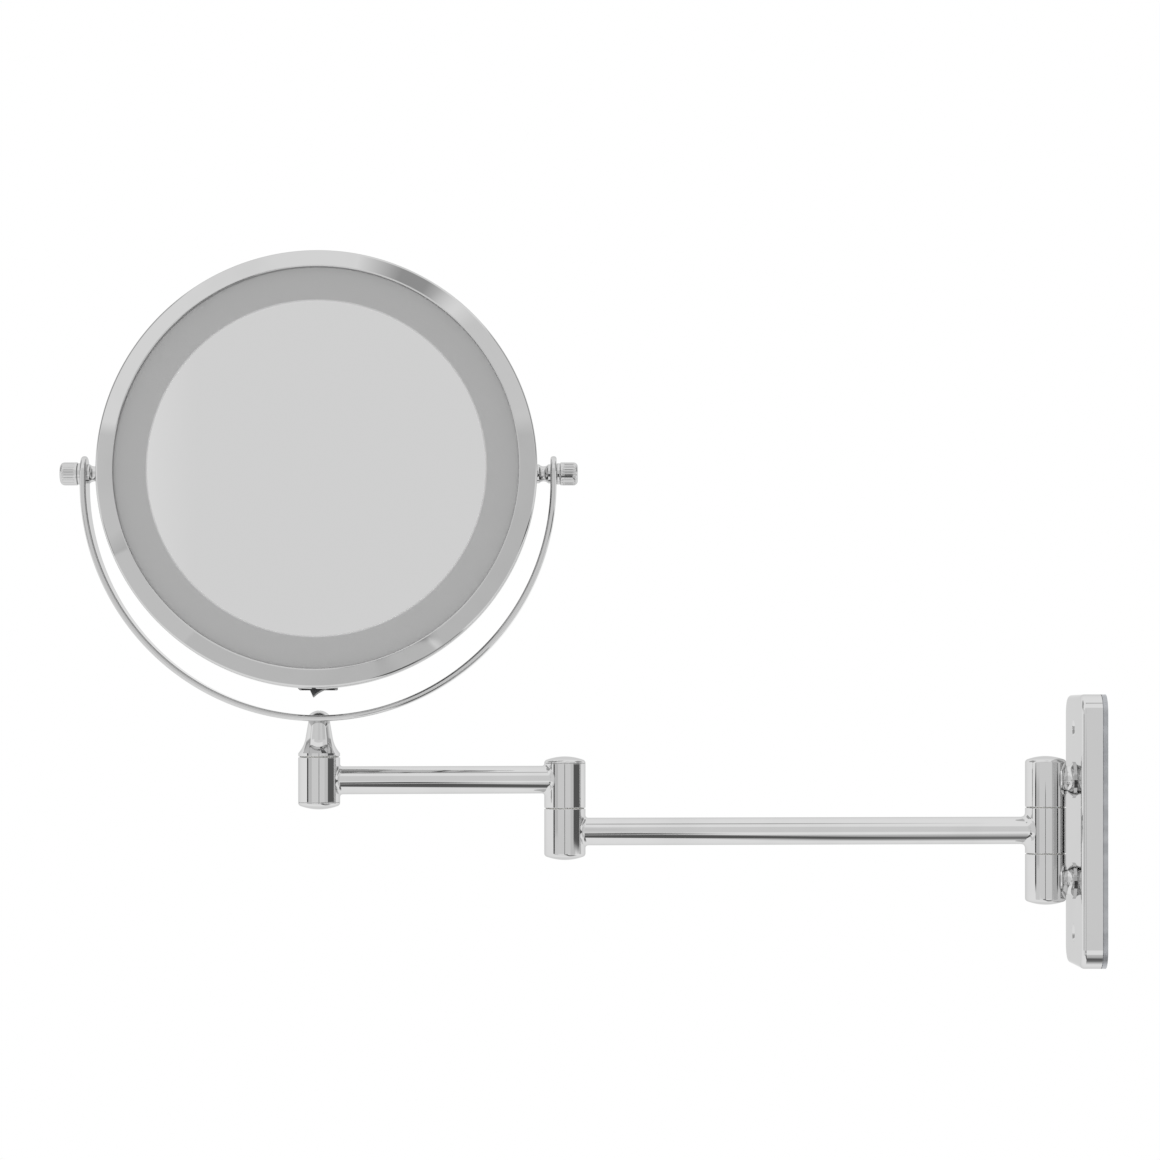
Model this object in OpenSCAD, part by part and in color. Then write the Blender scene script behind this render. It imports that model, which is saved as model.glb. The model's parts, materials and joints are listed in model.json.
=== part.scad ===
// Extendable wall mirror: wall bracket, two folding arms, swivelling yoke, lit double-sided head.
// Origin: centre of the wall plate's back face. +X into the wall, +Z up, the lit face looks along -Y.

/* [Pose at rest] */
// Turn of the inner arm from straight out, towards the user
inner_turn = 5; // [-60:1:60]
// Further turn of the outer arm at the elbow
outer_turn = 7; // [-60:1:60]
// Upward lean of the mirror face
head_lean = 5; // [0:1:15]

/* [Wall plate] */
// Height of the wall plate
plate_h = 126; // [116:1:150]
// Width of the wall plate
plate_w = 58; // [44:1:70]
// Corner radius of the plate outline
plate_corner = 9; // [6:0.5:14]
// Depth of the pressed cover
cover_d = 9.6; // [8:0.2:14]
// Wall thickness of the cover
cover_wall = 1.6; // [1.2:0.1:2]
// Radius of the soft edge round the cover's face
cover_edge = 2.2; // [1.2:0.1:2.6]
// Thickness of the base plate against the wall
base_t = 2.4; // [1.8:0.1:4]
// Depth of the shadow line between cover and base
rebate = 0.3; // [0.2:0.1:0.6]
// Distance between the two wall screw holes
screw_pitch = 95; // [86:1:100]
// Diameter of the wall screw holes
screw_hole_d = 4.6; // [4:0.1:5.4]

/* [Wall posts] */
// Distance from the plate's face to the hinge axis
post_reach = 13; // [12:0.5:18]
// Height of each post above or below the plate's centre
post_z = 23.4; // [21:0.2:24]
// Diameter of a post's flanges
post_d = 16.8; // [14:0.2:17.6]
// Radius of the turned waist
waist_r = 3; // [2.2:0.1:3.6]
// Depth of the turned waist
waist_cut = 1.8; // [1:0.1:2.4]
// Diameter of the screws through the base into the posts
post_screw_d = 5; // [4:0.5:5]

/* [Hinge knuckles] */
// Diameter of every hinge knuckle
knuckle_d = 19; // [18:0.2:22]
// Height from a hinge seam to the tip of a domed knuckle
knuckle_h = 23.8; // [23.2:0.2:28]
// Height of the middle knuckle, seam to seam
middle_h = 21.5; // [20:0.5:26]
// Spherical radius of the domed ends
dome_r = 24; // [18:1:40]
// Radius round the shoulder of a domed end
shoulder_r = 2; // [1:0.1:3]
// Diameter of the hinge pins
pin_d = 6; // [5:0.5:6.5]
// Thickness of the nylon washers in the seams
washer_t = 0.4; // [0.3:0.05:0.8]
// How far the washers stay inside the knuckle's edge
washer_inset = 0.7; // [0.3:0.1:1.5]

/* [Arms] */
// Inner arm length, hinge axis to hinge axis
inner_len = 224; // [160:1:300]
// Outer arm length, hinge axis to hinge axis
outer_len = 113.6; // [90:0.2:150]
// Diameter of the arm tubes
tube_d = 12.7; // [11:0.1:13]
// Wall of the arm tubes
tube_wall = 1; // [0.7:0.1:2]
// Height of the outer tube's axis above the elbow seam
outer_tube_rise = 13.15; // [12.6:0.05:13.4]
// Size of the brazed fillet at the wall hinge
wall_fillet = 2.4; // [1:0.1:2.6]
// Size of the other brazed fillets
arm_fillet = 1.4; // [0.8:0.1:2]

/* [Neck] */
// Height of the bell-shaped neck
neck_h = 15.9; // [14:0.1:22]
// Diameter of the neck's top
neck_top_d = 8.7; // [8:0.1:11]
// Diameter where the flare begins
neck_mid_d = 11; // [9:0.1:13]
// Height at which the flare begins
neck_flare_z = 8.6; // [6:0.1:10]
// Radius of the hollow flare
neck_flare_r = 14; // [11:0.5:30]
// Height of the straight band at the neck's foot
neck_band = 1.5; // [0.8:0.1:2.5]
// Diameter of the screw that holds the yoke
yoke_screw_d = 4; // [3:0.5:4.5]
// Diameter of its domed head
yoke_screw_head_d = 9.3; // [8:0.1:11]
// Height of its domed head
yoke_screw_head_h = 2.1; // [1.6:0.1:2.6]

/* [Yoke] */
// Space between the rim and the inside of the yoke
yoke_gap = 5.7; // [4:0.1:14]
// Height of the pivot axis above the half ring's centre
yoke_rise = 4.5; // [2:0.1:12]
// Width of the yoke strip, front to back
strip_w = 16; // [13:0.5:20]
// Thickness of the yoke strip
strip_t = 2.8; // [2.2:0.1:3.2]
// Radius along the strip's edges
strip_edge = 0.7; // [0.3:0.1:1]

/* [Pivot hardware] */
// Diameter of the studs that carry the head
stud_d = 5; // [4:0.5:6]
// Diameter of the turned spacers
spacer_d = 8.6; // [8:0.1:10]
// Depth of the spacer's turned waist
spacer_waist = 0.9; // [0.4:0.1:1.2]
// Thickness of the collars under the knobs
collar_t = 1.6; // [1:0.1:3]
// Diameter of the collars
collar_d = 9.6; // [8.6:0.1:11]
// Diameter of the knobs
knob_d = 10.4; // [9.6:0.1:13]
// Length of the knobs
knob_len = 8; // [7:0.5:12]
// Radius round the knob's end
knob_nose = 2; // [1:0.1:2.8]
// Number of flutes round a knob
flutes = 20; // [12:1:24]
// Diameter of a flute
flute_d = 0.9; // [0.6:0.1:1.1]

/* [Head] */
// Outer radius of the front rim
rim_r = 99; // [85:0.5:120]
// Width of the rim's sloped face
rim_w = 8.2; // [7.6:0.1:12]
// Slope of the rim's face
rim_slope = 25; // [15:1:30]
// Radius round the rim's outer edge
rim_edge = 1.6; // [1:0.1:2]
// Thickness of the rim's skirt round the housing
rim_skirt = 3.5; // [2.8:0.1:3.9]
// Space between the battery lid and the magnifying mirror
lid_gap = 1.44; // [1:0.02:4]
// Radius round the housing's back edge
housing_edge = 6; // [4:0.2:6.4]
// Thickness of the housing's wall
housing_wall = 2; // [1.6:0.1:2.2]
// Width of the housing's flange round the back opening
back_flange = 13; // [12:0.1:16]
// Distance from the pivot axis to the carrier plate
carrier_z = 8; // [7.6:0.1:9]
// Thickness of the carrier plate
carrier_t = 1.6; // [1.2:0.1:2.4]
// How far the front glass reaches in under the rim
glass_seat = 2; // [1:0.1:2.2]
// Thickness of the front glass
glass_t = 3; // [2:0.1:4]
// Width of the frosted light ring
frost_w = 14.8; // [13:0.2:20]
// Height of the light diffuser above the carrier plate
diffuser_h = 5.9; // [5:0.1:8]
// Wall of the light diffuser
diffuser_wall = 1.5; // [1:0.1:1.6]
// Thickness of the lamp board
board_t = 1.2; // [0.8:0.1:1.6]
// Number of lamps round the ring
lamps = 24; // [12:1:40]
// Height of a lamp
lamp_h = 1; // [0.6:0.1:1.4]
// Radius of curvature of the magnifying mirror
magnify_r = 600; // [500:10:1500]
// Thickness of the magnifying mirror
magnify_t = 2.5; // [2:0.1:2.6]
// How far the back rim reaches over the magnifying mirror
back_rim_lap = 4.5; // [3:0.1:6]
// Width of the back rim
back_rim_w = 10; // [8.5:0.1:11]
// Thickness of the back rim
back_rim_t = 2; // [1.4:0.1:3]

/* [Batteries] */
// Number of cells
cells = 3; // [2:1:3]
// Diameter of a cell
cell_d = 10.4; // [10:0.1:10.6]
// Length of a cell with its tip
cell_len = 44.5; // [43:0.1:46]
// Space between cell centres
cell_pitch = 11.4; // [11.2:0.1:13]
// Room for a coil spring behind each cell
spring_len = 4.2; // [3:0.1:6]
// Wall of the battery box
box_wall = 1.5; // [1:0.1:2.4]
// Thickness of the battery lid
lid_t = 1.2; // [0.8:0.1:1.3]

/* [Switch] */
// Width of the switch flange
switch_w = 17.6; // [17.4:0.1:20]
// Depth of the switch flange, front to back
switch_d = 10.4; // [10:0.1:12]
// How far the flange stands off the housing
switch_lift = 2.5; // [2:0.1:2.8]
// Distance from the flange's face to the rocker's pivot
rocker_sink = 5.5; // [5:0.1:6]
// Distance from the rocker's pivot to its ridge
rocker_reach = 9.2; // [8.4:0.1:9.6]
// Half the length of the rocker
rocker_half = 6.4; // [5.6:0.1:6.5]
// Thickness of the rocker, front to back
rocker_t = 6.8; // [5:0.1:7]
// Throw of the rocker to each side
rocker_throw = 13; // [8:1:14]

/* [Fits] */
// Radial running clearance of pins in their bores
run_clear = 0.05; // [0.02:0.01:0.09]
// Clearance between faces that slide on each other
face_clear = 0.05; // [0.03:0.01:0.15]
// Clearance round loose inner parts
loose = 0.2; // [0.1:0.05:0.3]

/* [Hidden] */
$fn = 96;

chrome = "#c9ccd0";
steel = "#9ea2a6";
nylon = "#e8e6df";
plastic = "#f1f0ec";
black = "#1d1e20";
glass = "#dfe6ea";
board_white = "#f4f4f0";
lamp_yellow = "#ffe9a8";
cell_green = "#3f7d4e";
brass = "#c9a24a";
wire_red = "#b03030";
wire_dark = "#303030";

plate_t = cover_d + base_t;
stack_x = -(plate_t + post_reach);
knuckle_r = knuckle_d / 2;
pin_r = pin_d / 2;
tube_r = tube_d / 2;
seam_z = middle_h / 2;
half_washer = washer_t / 2;
// Solid knuckle left between a tube's end and the pin's bore
socket_wall = 2.6;
socket_floor = pin_r + socket_wall;
// Screws that hold a pin sit in a counterbore under the domed cap
sink_wall = 1.2;
sink_r = socket_floor - sink_wall;
sink_depth = 3.6;
sink_clear = 0.4;
cap_spigot = 0.6;
spring_washer_t = 0.8;
retaining_head_h = 1.7;
retaining_r = 1.5;
retaining_len = 8;
socket_r = 1.4;
socket_depth = 1;
dome_drop = dome_r - sqrt(pow(dome_r, 2) - pow(knuckle_r - shoulder_r, 2));
shoulder_h = dome_drop + shoulder_r;
body_h = knuckle_h - half_washer - shoulder_h;
// The pins end this far from a domed tip
pin_cover = 4.6;
outer_tube_z = seam_z + outer_tube_rise;

hub_seam_z = seam_z + knuckle_h;
neck_foot_z = hub_seam_z + half_washer;
neck_top_z = neck_foot_z + neck_h;
yoke_in = rim_r + yoke_gap;
yoke_r = yoke_in + strip_t;
pivot_z = neck_top_z + yoke_r + yoke_rise;

lip_r = rim_r - rim_w;
housing_r = rim_r - rim_skirt;
back_open_r = housing_r - back_flange;
back_rim_in = back_open_r - back_rim_lap;
back_rim_out = back_rim_in + back_rim_w;
cell_gap = 0.4;
cell_z = carrier_z - cell_gap - cell_d / 2;
box_back = cell_z - cell_d / 2 - cell_gap;
// The housing is as deep as the cells and the bulge of the magnifying mirror need
mirror_fit = 0.3;
mirror_r = back_open_r - mirror_fit;
mirror_drop = sqrt(pow(magnify_r, 2) - pow(mirror_r, 2));
back_z = lid_t - box_back + lid_gap + magnify_t + magnify_r - mirror_drop;
glass_r = lip_r + glass_seat;
clear_r = lip_r - frost_w;
glass_back = carrier_z + carrier_t + diffuser_h;
glass_front = glass_back + glass_t;
ledge_t = 1.5;
rim_drop = 0.6;
skirt_h = 5.1;
skirt_edge = 0.6;
rim_mid_z = glass_front - rim_drop;
housing_front = glass_front - ledge_t;
lip_soft = 0.4;
rim_tan_r = rim_r - rim_edge + rim_edge * sin(rim_slope);
rim_tan_z = rim_mid_z + rim_edge * cos(rim_slope);
lip_z = rim_tan_z + (rim_tan_r - lip_r - lip_soft) * tan(rim_slope);
skirt_z = rim_mid_z - skirt_h;
// A step inside the pan carries the carrier plate
carrier_step = 1.5;
wall_in_front = housing_r - housing_wall;
wall_in_back = wall_in_front - carrier_step;
corner_in = housing_edge - carrier_step;
floor_r = wall_in_back - corner_in;
foot_h = 3.1;
spacer_foot_lap = 0.6;
spacer_foot_r = spacer_d / 2 + spacer_foot_lap;
boss_r = housing_r + foot_h;
pad_t = 6;
pad_wall = 4;
pad_r = stud_d / 2 + pad_wall;
pad_in = wall_in_back - pad_t;
stud_head_t = 3;
// The carrier's legs stand on the flat of the pan's floor
leg_r = (floor_r - back_open_r) / 2 - loose;
leg_ring = (floor_r + back_open_r) / 2;
leg_screw_r = 1.3;
leg_sink = 1;
leg_screw_len = 10;

contact_t = 0.4;
box_in_l = cell_len + spring_len + 2 * contact_t;
box_in_w = cells * cell_pitch;

flange_y = -(housing_r + switch_lift);
rocker_y = flange_y + rocker_sink;
switch_wall = 0.9;
switch_corner = 1.2;
flange_lap = 1.3;
rocker_room = 0.3;
rocker_turn_room = 3.6;
switch_len = 14;
cavity_w = switch_w - 2 * flange_lap;
cavity_d = rocker_t + 2 * rocker_room;
body_w = cavity_w + 2 * switch_wall;
body_d = cavity_d + 2 * switch_wall;
body_back = flange_y + switch_len;
rocker_pin_r = 0.8;
terminal_x = 4.2;
terminal = [2.8, 5, 0.8];

// Places of the moving groups

module at_stack() { translate([stack_x, 0, 0]) children(); }

module at_inner() { at_stack() rotate([0, 0, inner_turn]) children(); }

module at_elbow() { at_inner() translate([-inner_len, 0, 0]) children(); }

module at_outer() { at_elbow() rotate([0, 0, outer_turn]) children(); }

module at_hub() { at_outer() translate([-outer_len, 0, 0]) children(); }

// The yoke faces straight ahead whatever the arms do
module at_yoke() { at_hub() rotate([0, 0, -inner_turn - outer_turn]) children(); }

// Head frame: x right, y up, z out of the lit face, origin on the pivot axis
module at_head() {
  at_yoke() translate([0, 0, pivot_z]) rotate([90 - head_lean, 0, 0]) children();
}

// Shared shapes

module round_rect(l, w, r) {
  square([l - 2 * r, w], center = true);
  square([l, w - 2 * r], center = true);
  for (sx = [-1, 1], sy = [-1, 1])
    translate([sx * (l / 2 - r), sy * (w / 2 - r)]) circle(r);
}

module soft_edge(r, t, e) {
  square([r - e, t]);
  square([r, t - e]);
  translate([r - e, t - e]) circle(e);
}

// Flat block with round corners r and a soft edge e round its top face
module soft_block(l, w, t, r, e) {
  translate([r - l / 2, r - w / 2, 0]) cube([l - 2 * r, w - 2 * r, t]);
  for (k = [0:3]) rotate([0, 0, 90 * k]) {
    half = (k % 2 == 0 ? l : w) / 2;
    len = (k % 2 == 0 ? w : l) - 2 * r;
    translate([half - r, len / 2, 0]) {
      rotate([90, 0, 0]) linear_extrude(len) soft_edge(r, t, e);
      rotate_extrude(angle = 90) soft_edge(r, t, e);
    }
  }
}

module ring(r_out, r_in, t) {
  difference() {
    cylinder(r = r_out, h = t);
    translate([0, 0, -1]) cylinder(r = r_in, h = t + 2);
  }
}

// Cylinder lying along +X
module rod(r, from, to) { translate([from, 0, 0]) rotate([0, 90, 0]) cylinder(r = r, h = to - from); }

// Half outline of a domed end, tip at height h
module dome_outline(h) {
  intersection() {
    union() {
      square([knuckle_r, h - shoulder_h]);
      square([knuckle_r - shoulder_r, h]);
      translate([knuckle_r - shoulder_r, h - shoulder_h]) circle(shoulder_r);
    }
    translate([0, h - dome_r]) circle(dome_r, $fn = 360);
  }
}

// Knuckle with a domed end, standing on its seam face
module domed_knuckle() { rotate_extrude() dome_outline(knuckle_h - half_washer); }

// Separate domed cap with a spigot that presses into the counterbore, its rim at z = 1
module domed_cap() {
  rotate_extrude() difference() {
    dome_outline(shoulder_h + 1);
    translate([sink_r, -1]) square([knuckle_r, 2]);
    translate([0, -1]) square([sink_r + 1, 2 - cap_spigot]);
  }
}

// Bore for a tube's end, on the +X or -X side of a knuckle
module socket(z, side) {
  translate([0, 0, z]) mirror([side > 0 ? 0 : 1, 0, 0]) rod(tube_r, socket_floor, knuckle_d);
}

module tube_between(from, to) {
  difference() {
    rod(tube_r, from, to);
    rod(tube_r - tube_wall, from - 1, to + 1);
  }
}

module seam_washer() { ring(knuckle_r - washer_inset, pin_r + 2 * run_clear, washer_t - face_clear); }

// Brazed fillet: follows the saddle where a tube runs into a round knuckle.
// Its flats are drawn outside the two cylinders, so that they touch and don't cut in.
bead_turns = 44;
bead_steps = 4;
bead_rows = 4;
bead_lift = 0.1;
bead_seat = 0.05;
bead_bulge = 0.2;
bead_r = tube_r / cos(180 / bead_turns);

function saddle(turn, r) = sqrt(pow(knuckle_r + bead_seat, 2) - pow(r * cos(turn), 2));

function bead_curve(turn, size, s) =
  let (corner = saddle(turn, bead_r),
       knee = [corner + bead_bulge * size, bead_r],
       toe_knuckle = [saddle(turn, bead_r + size) + bead_lift, bead_r + size],
       toe_tube = [corner + size, bead_r + bead_lift])
  pow(1 - s, 2) * toe_knuckle + 2 * s * (1 - s) * knee + pow(s, 2) * toe_tube;

function bead_section(turn, size) = concat(
  [for (k = [0:bead_steps]) bead_curve(turn, size, k / bead_steps)],
  [[saddle(turn, bead_r) + size, bead_r]],
  [for (k = [0:bead_rows]) let (r = bead_r + size * k / bead_rows) [saddle(turn, r), r]]);

module braze_fillet(size) {
  per = bead_steps + bead_rows + 3;
  points = [for (k = [0:bead_turns - 1]) let (turn = 360 * k / bead_turns)
    for (p = bead_section(turn, size)) [p[0], p[1] * cos(turn), p[1] * sin(turn)]];
  faces = [for (k = [0:bead_turns - 1], j = [0:per - 1])
    let (a = k * per, b = ((k + 1) % bead_turns) * per, n = (j + 1) % per)
    each [[a + j, b + j, b + n], [a + j, b + n, a + n]]];
  polyhedron(points, faces);
}

// Round wire swept along a path of points
function unit(v) = v / norm(v);

module wire(path, r, sides, aside) {
  last = len(path) - 1;
  points = [for (k = [0:last])
    let (along = unit(path[min(k + 1, last)] - path[max(k - 1, 0)]),
         u = unit(cross(along, aside)), v = cross(along, u))
    for (j = [0:sides - 1]) path[k] + r * (cos(360 * j / sides) * u + sin(360 * j / sides) * v)];
  skin = [for (k = [0:last - 1], j = [0:sides - 1])
    let (a = k * sides, b = a + sides, n = (j + 1) % sides)
    each [[a + j, b + n, b + j], [a + j, a + n, b + n]]];
  start = [[for (j = [0:sides - 1]) sides - 1 - j]];
  end = [[for (j = [0:sides - 1]) last * sides + j]];
  polyhedron(points, concat(skin, start, end));
}

function bend(a, b, c, d, t) =
  pow(1 - t, 3) * a + 3 * t * pow(1 - t, 2) * b + 3 * pow(t, 2) * (1 - t) * c + pow(t, 3) * d;

// Wall bracket

module lying_plate() { rotate([0, -90, 0]) children(); }

module at_wall_screws() { for (s = [-1, 1]) translate([0, 0, s * screw_pitch / 2]) children(); }

module at_posts() { for (s = [-1, 1]) translate([0, 0, s * post_z]) children(); }

wall_boss_wall = 2;
wall_boss_r = screw_hole_d / 2 + wall_boss_wall;
post_boss_wall = 3;
post_boss_r = post_screw_d / 2 + post_boss_wall;
countersink = 2;
rebate_in = 0.6;
// Length of solid knuckle between the pin and a post's screw
screw_stop = 2.2;
// Distance from a post's waist to its plate end
waist_end = 0.5;

module wall_base() {
  color(steel) difference() {
    union() {
      lying_plate() linear_extrude(base_t - rebate) round_rect(plate_h, plate_w, plate_corner);
      lying_plate() linear_extrude(base_t)
        round_rect(plate_h - 2 * rebate_in, plate_w - 2 * rebate_in, plate_corner - rebate_in);
    }
    at_wall_screws() rod(screw_hole_d / 2, -base_t - 1, 1);
    at_posts() {
      rod(post_screw_d / 2, -base_t - 1, 1);
      rotate([0, -90, 0])
        cylinder(r1 = post_screw_d / 2 + countersink, r2 = post_screw_d / 2, h = countersink);
    }
  }
}

module wall_cover() {
  color(chrome) difference() {
    translate([-base_t, 0, 0]) union() {
      difference() {
        lying_plate() soft_block(plate_h, plate_w, cover_d, plate_corner, cover_edge);
        translate([1, 0, 0]) lying_plate() linear_extrude(cover_d - cover_wall + 1)
          round_rect(plate_h - 2 * cover_wall, plate_w - 2 * cover_wall, plate_corner - cover_wall);
      }
      at_wall_screws() rod(wall_boss_r, cover_wall / 2 - cover_d, 0);
      at_posts() rod(post_boss_r, cover_wall / 2 - cover_d, 0);
    }
    at_wall_screws() {
      rod(screw_hole_d / 2, -plate_t - 1, 0);
      translate([countersink - plate_t, 0, 0]) rotate([0, -90, 0])
        cylinder(r1 = screw_hole_d / 2, r2 = screw_hole_d / 2 + countersink, h = countersink);
    }
    at_posts() rod(post_screw_d / 2 + loose, -plate_t - 1, 0);
  }
}

// Turned spool between a wall knuckle and the plate
module wall_post() {
  rotate([0, 90, 0]) rotate_extrude() difference() {
    translate([0, pin_r]) square([post_d / 2, post_reach - pin_r]);
    translate([post_d / 2 + waist_r - waist_cut, post_reach - waist_r - waist_end]) circle(waist_r);
  }
}

module wall_knuckle() {
  difference() {
    union() {
      translate([0, 0, seam_z + half_washer]) domed_knuckle();
      translate([0, 0, post_z]) wall_post();
    }
    cylinder(r = pin_r, h = seam_z + knuckle_h - pin_cover);
    translate([0, 0, post_z]) rod(post_screw_d / 2, pin_r + screw_stop, post_reach + 1);
  }
}

module upper_wall_knuckle() { color(chrome) at_stack() wall_knuckle(); }

module lower_wall_knuckle() { color(chrome) at_stack() mirror([0, 0, 1]) wall_knuckle(); }

module post_screws() {
  color(steel) at_posts() {
    rotate([0, -90, 0])
      cylinder(r1 = post_screw_d / 2 + countersink, r2 = post_screw_d / 2, h = countersink);
    rod(post_screw_d / 2, stack_x + pin_r + screw_stop, -countersink);
  }
}

module wall_hinge_pin() {
  reach = seam_z + knuckle_h - pin_cover;
  color(steel) at_stack() translate([0, 0, -reach]) cylinder(r = pin_r, h = 2 * reach);
}

module wall_washers() {
  color(nylon) at_stack() for (s = [0, 1]) mirror([0, 0, s])
    translate([0, 0, seam_z - half_washer + face_clear]) seam_washer();
}

// Inner arm

module inner_hub() {
  h = middle_h - washer_t;
  color(chrome) at_inner() difference() {
    translate([0, 0, -h / 2]) cylinder(r = knuckle_r, h = h);
    translate([0, 0, -h]) cylinder(r = pin_r + run_clear, h = 2 * h);
    socket(0, -1);
  }
}

module inner_tube() { color(chrome) at_elbow() tube_between(socket_floor, inner_len - socket_floor); }

module inner_wall_fillet() { color(chrome) at_inner() rotate([0, 0, 180]) braze_fillet(wall_fillet); }

module lower_elbow_fillet() { color(chrome) at_elbow() braze_fillet(arm_fillet); }

module elbow_lower_knuckle() {
  color(chrome) at_elbow() difference() {
    translate([0, 0, seam_z - half_washer]) mirror([0, 0, 1]) domed_knuckle();
    translate([0, 0, seam_z - knuckle_h + pin_cover]) cylinder(r = pin_r, h = knuckle_h);
    socket(0, 1);
  }
}

elbow_sink_z = seam_z + knuckle_h - shoulder_h - sink_depth;
hub_sink_z = seam_z + shoulder_h + sink_depth;

module elbow_pin() {
  foot = seam_z - knuckle_h + pin_cover;
  color(steel) at_elbow() difference() {
    translate([0, 0, foot]) cylinder(r = pin_r, h = elbow_sink_z + face_clear - foot);
    translate([0, 0, elbow_sink_z - retaining_len - 1]) cylinder(r = retaining_r, h = retaining_len + 2);
  }
}

module elbow_washer() {
  color(nylon) at_elbow() translate([0, 0, seam_z - half_washer]) seam_washer();
}

// Spring washer and screw that hold a knuckle on its pin, both above z = 0
module spring_washer() { ring(sink_r - sink_clear, retaining_r + loose, spring_washer_t); }

module retaining_screw() {
  translate([0, 0, spring_washer_t]) difference() {
    cylinder(r = sink_r - sink_clear, h = retaining_head_h);
    translate([0, 0, retaining_head_h - socket_depth])
      cylinder(r = socket_r, h = 2 * socket_depth, $fn = 6);
  }
  translate([0, 0, -retaining_len]) cylinder(r = retaining_r, h = retaining_len + spring_washer_t);
}

module elbow_spring_washer() {
  color(steel) at_elbow() translate([0, 0, elbow_sink_z + face_clear]) spring_washer();
}

module elbow_screw() {
  color(steel) at_elbow() translate([0, 0, elbow_sink_z + face_clear]) retaining_screw();
}

// Outer arm

module elbow_upper_knuckle() {
  low = seam_z + half_washer;
  color(chrome) at_outer() difference() {
    translate([0, 0, low]) cylinder(r = knuckle_r, h = body_h);
    cylinder(r = pin_r + run_clear, h = elbow_sink_z + 1);
    translate([0, 0, elbow_sink_z]) cylinder(r = sink_r, h = sink_depth + 1);
    socket(outer_tube_z, -1);
  }
}

module elbow_cap() {
  color(chrome) at_outer() translate([0, 0, hub_seam_z - shoulder_h - 1]) domed_cap();
}

module outer_tube() {
  color(chrome) at_hub() translate([0, 0, outer_tube_z])
    tube_between(socket_floor, outer_len - socket_floor);
}

module upper_elbow_fillet() {
  color(chrome) at_outer() translate([0, 0, outer_tube_z]) rotate([0, 0, 180])
    braze_fillet(arm_fillet);
}

module hub_fillet() { color(chrome) at_hub() translate([0, 0, outer_tube_z]) braze_fillet(arm_fillet); }

module end_hub() {
  color(chrome) at_hub() difference() {
    translate([0, 0, seam_z + shoulder_h]) cylinder(r = knuckle_r, h = body_h);
    translate([0, 0, seam_z]) cylinder(r = sink_r, h = hub_sink_z - seam_z);
    translate([0, 0, seam_z]) cylinder(r = pin_r + run_clear, h = knuckle_h + 1);
    socket(outer_tube_z, 1);
  }
}

module hub_cap() {
  color(chrome) at_hub() translate([0, 0, seam_z + shoulder_h + 1]) mirror([0, 0, 1]) domed_cap();
}

// Neck and yoke

// Solid neck between the spindle and the top
spindle_cap = 7.2;
spindle_top = neck_top_z - spindle_cap;
neck_chamfer = 0.4;
neck_inset = 0.05;
// The stem is drawn this far into the strip, which then cuts it to its own curve
neck_into_strip = 0.3;

// Bell outline: tapered stem, hollow flare, straight band with a small chamfer
module neck_outline() {
  foot_r = knuckle_r - neck_inset;
  start = [neck_mid_d / 2, neck_flare_z];
  stop = [foot_r, neck_band];
  chord = stop - start;
  out = [-chord[1], chord[0]] / norm(chord);
  centre = (start + stop) / 2 + out * sqrt(pow(neck_flare_r, 2) - pow(norm(chord) / 2, 2));
  polygon([[0, 0], [foot_r - neck_chamfer, 0], [foot_r, neck_chamfer], stop,
           start, [neck_top_d / 2, neck_h + neck_into_strip], [0, neck_h + neck_into_strip]]);
  intersection() {
    polygon([start, stop, centre]);
    difference() {
      polygon([start, stop, centre]);
      translate(centre) circle(neck_flare_r, $fn = 360);
    }
  }
}

module neck() {
  color(chrome) at_yoke() difference() {
    translate([0, 0, neck_foot_z]) rotate_extrude() neck_outline();
    translate([0, 0, neck_foot_z - 1]) cylinder(r = pin_r, h = spindle_top - neck_foot_z + 1);
    cylinder(r = yoke_screw_d / 2, h = neck_top_z + 2);
    at_ring() cylinder(r = yoke_r, h = 4 * strip_w, center = true);
  }
}

module neck_spindle() {
  foot = hub_sink_z - face_clear;
  color(steel) at_yoke() difference() {
    translate([0, 0, foot]) cylinder(r = pin_r, h = spindle_top - foot);
    translate([0, 0, foot - 1]) cylinder(r = retaining_r, h = retaining_len + 2);
  }
}

module neck_washer() {
  color(nylon) at_yoke() translate([0, 0, hub_seam_z - half_washer + face_clear]) seam_washer();
}

module neck_spring_washer() {
  color(steel) at_yoke() translate([0, 0, hub_sink_z - face_clear]) mirror([0, 0, 1])
    spring_washer();
}

module neck_retaining_screw() {
  color(steel) at_yoke() translate([0, 0, hub_sink_z - face_clear]) mirror([0, 0, 1])
    retaining_screw();
}

// Centre of the half ring, its axis along Y
module at_ring() { translate([0, 0, pivot_z - yoke_rise]) rotate([90, 0, 0]) children(); }

// Strip section: across x, thickness y, all four edges soft
module strip_section(w) {
  e = strip_edge;
  translate([e - w / 2, 0]) square([w - 2 * e, strip_t]);
  translate([-w / 2, e]) square([w, strip_t - 2 * e]);
  for (x = [e - w / 2, w / 2 - e], y = [e, strip_t - e]) translate([x, y]) circle(e);
}

module half_strip_section() {
  intersection() {
    strip_section(strip_w);
    square([strip_w, strip_t]);
  }
}

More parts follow.
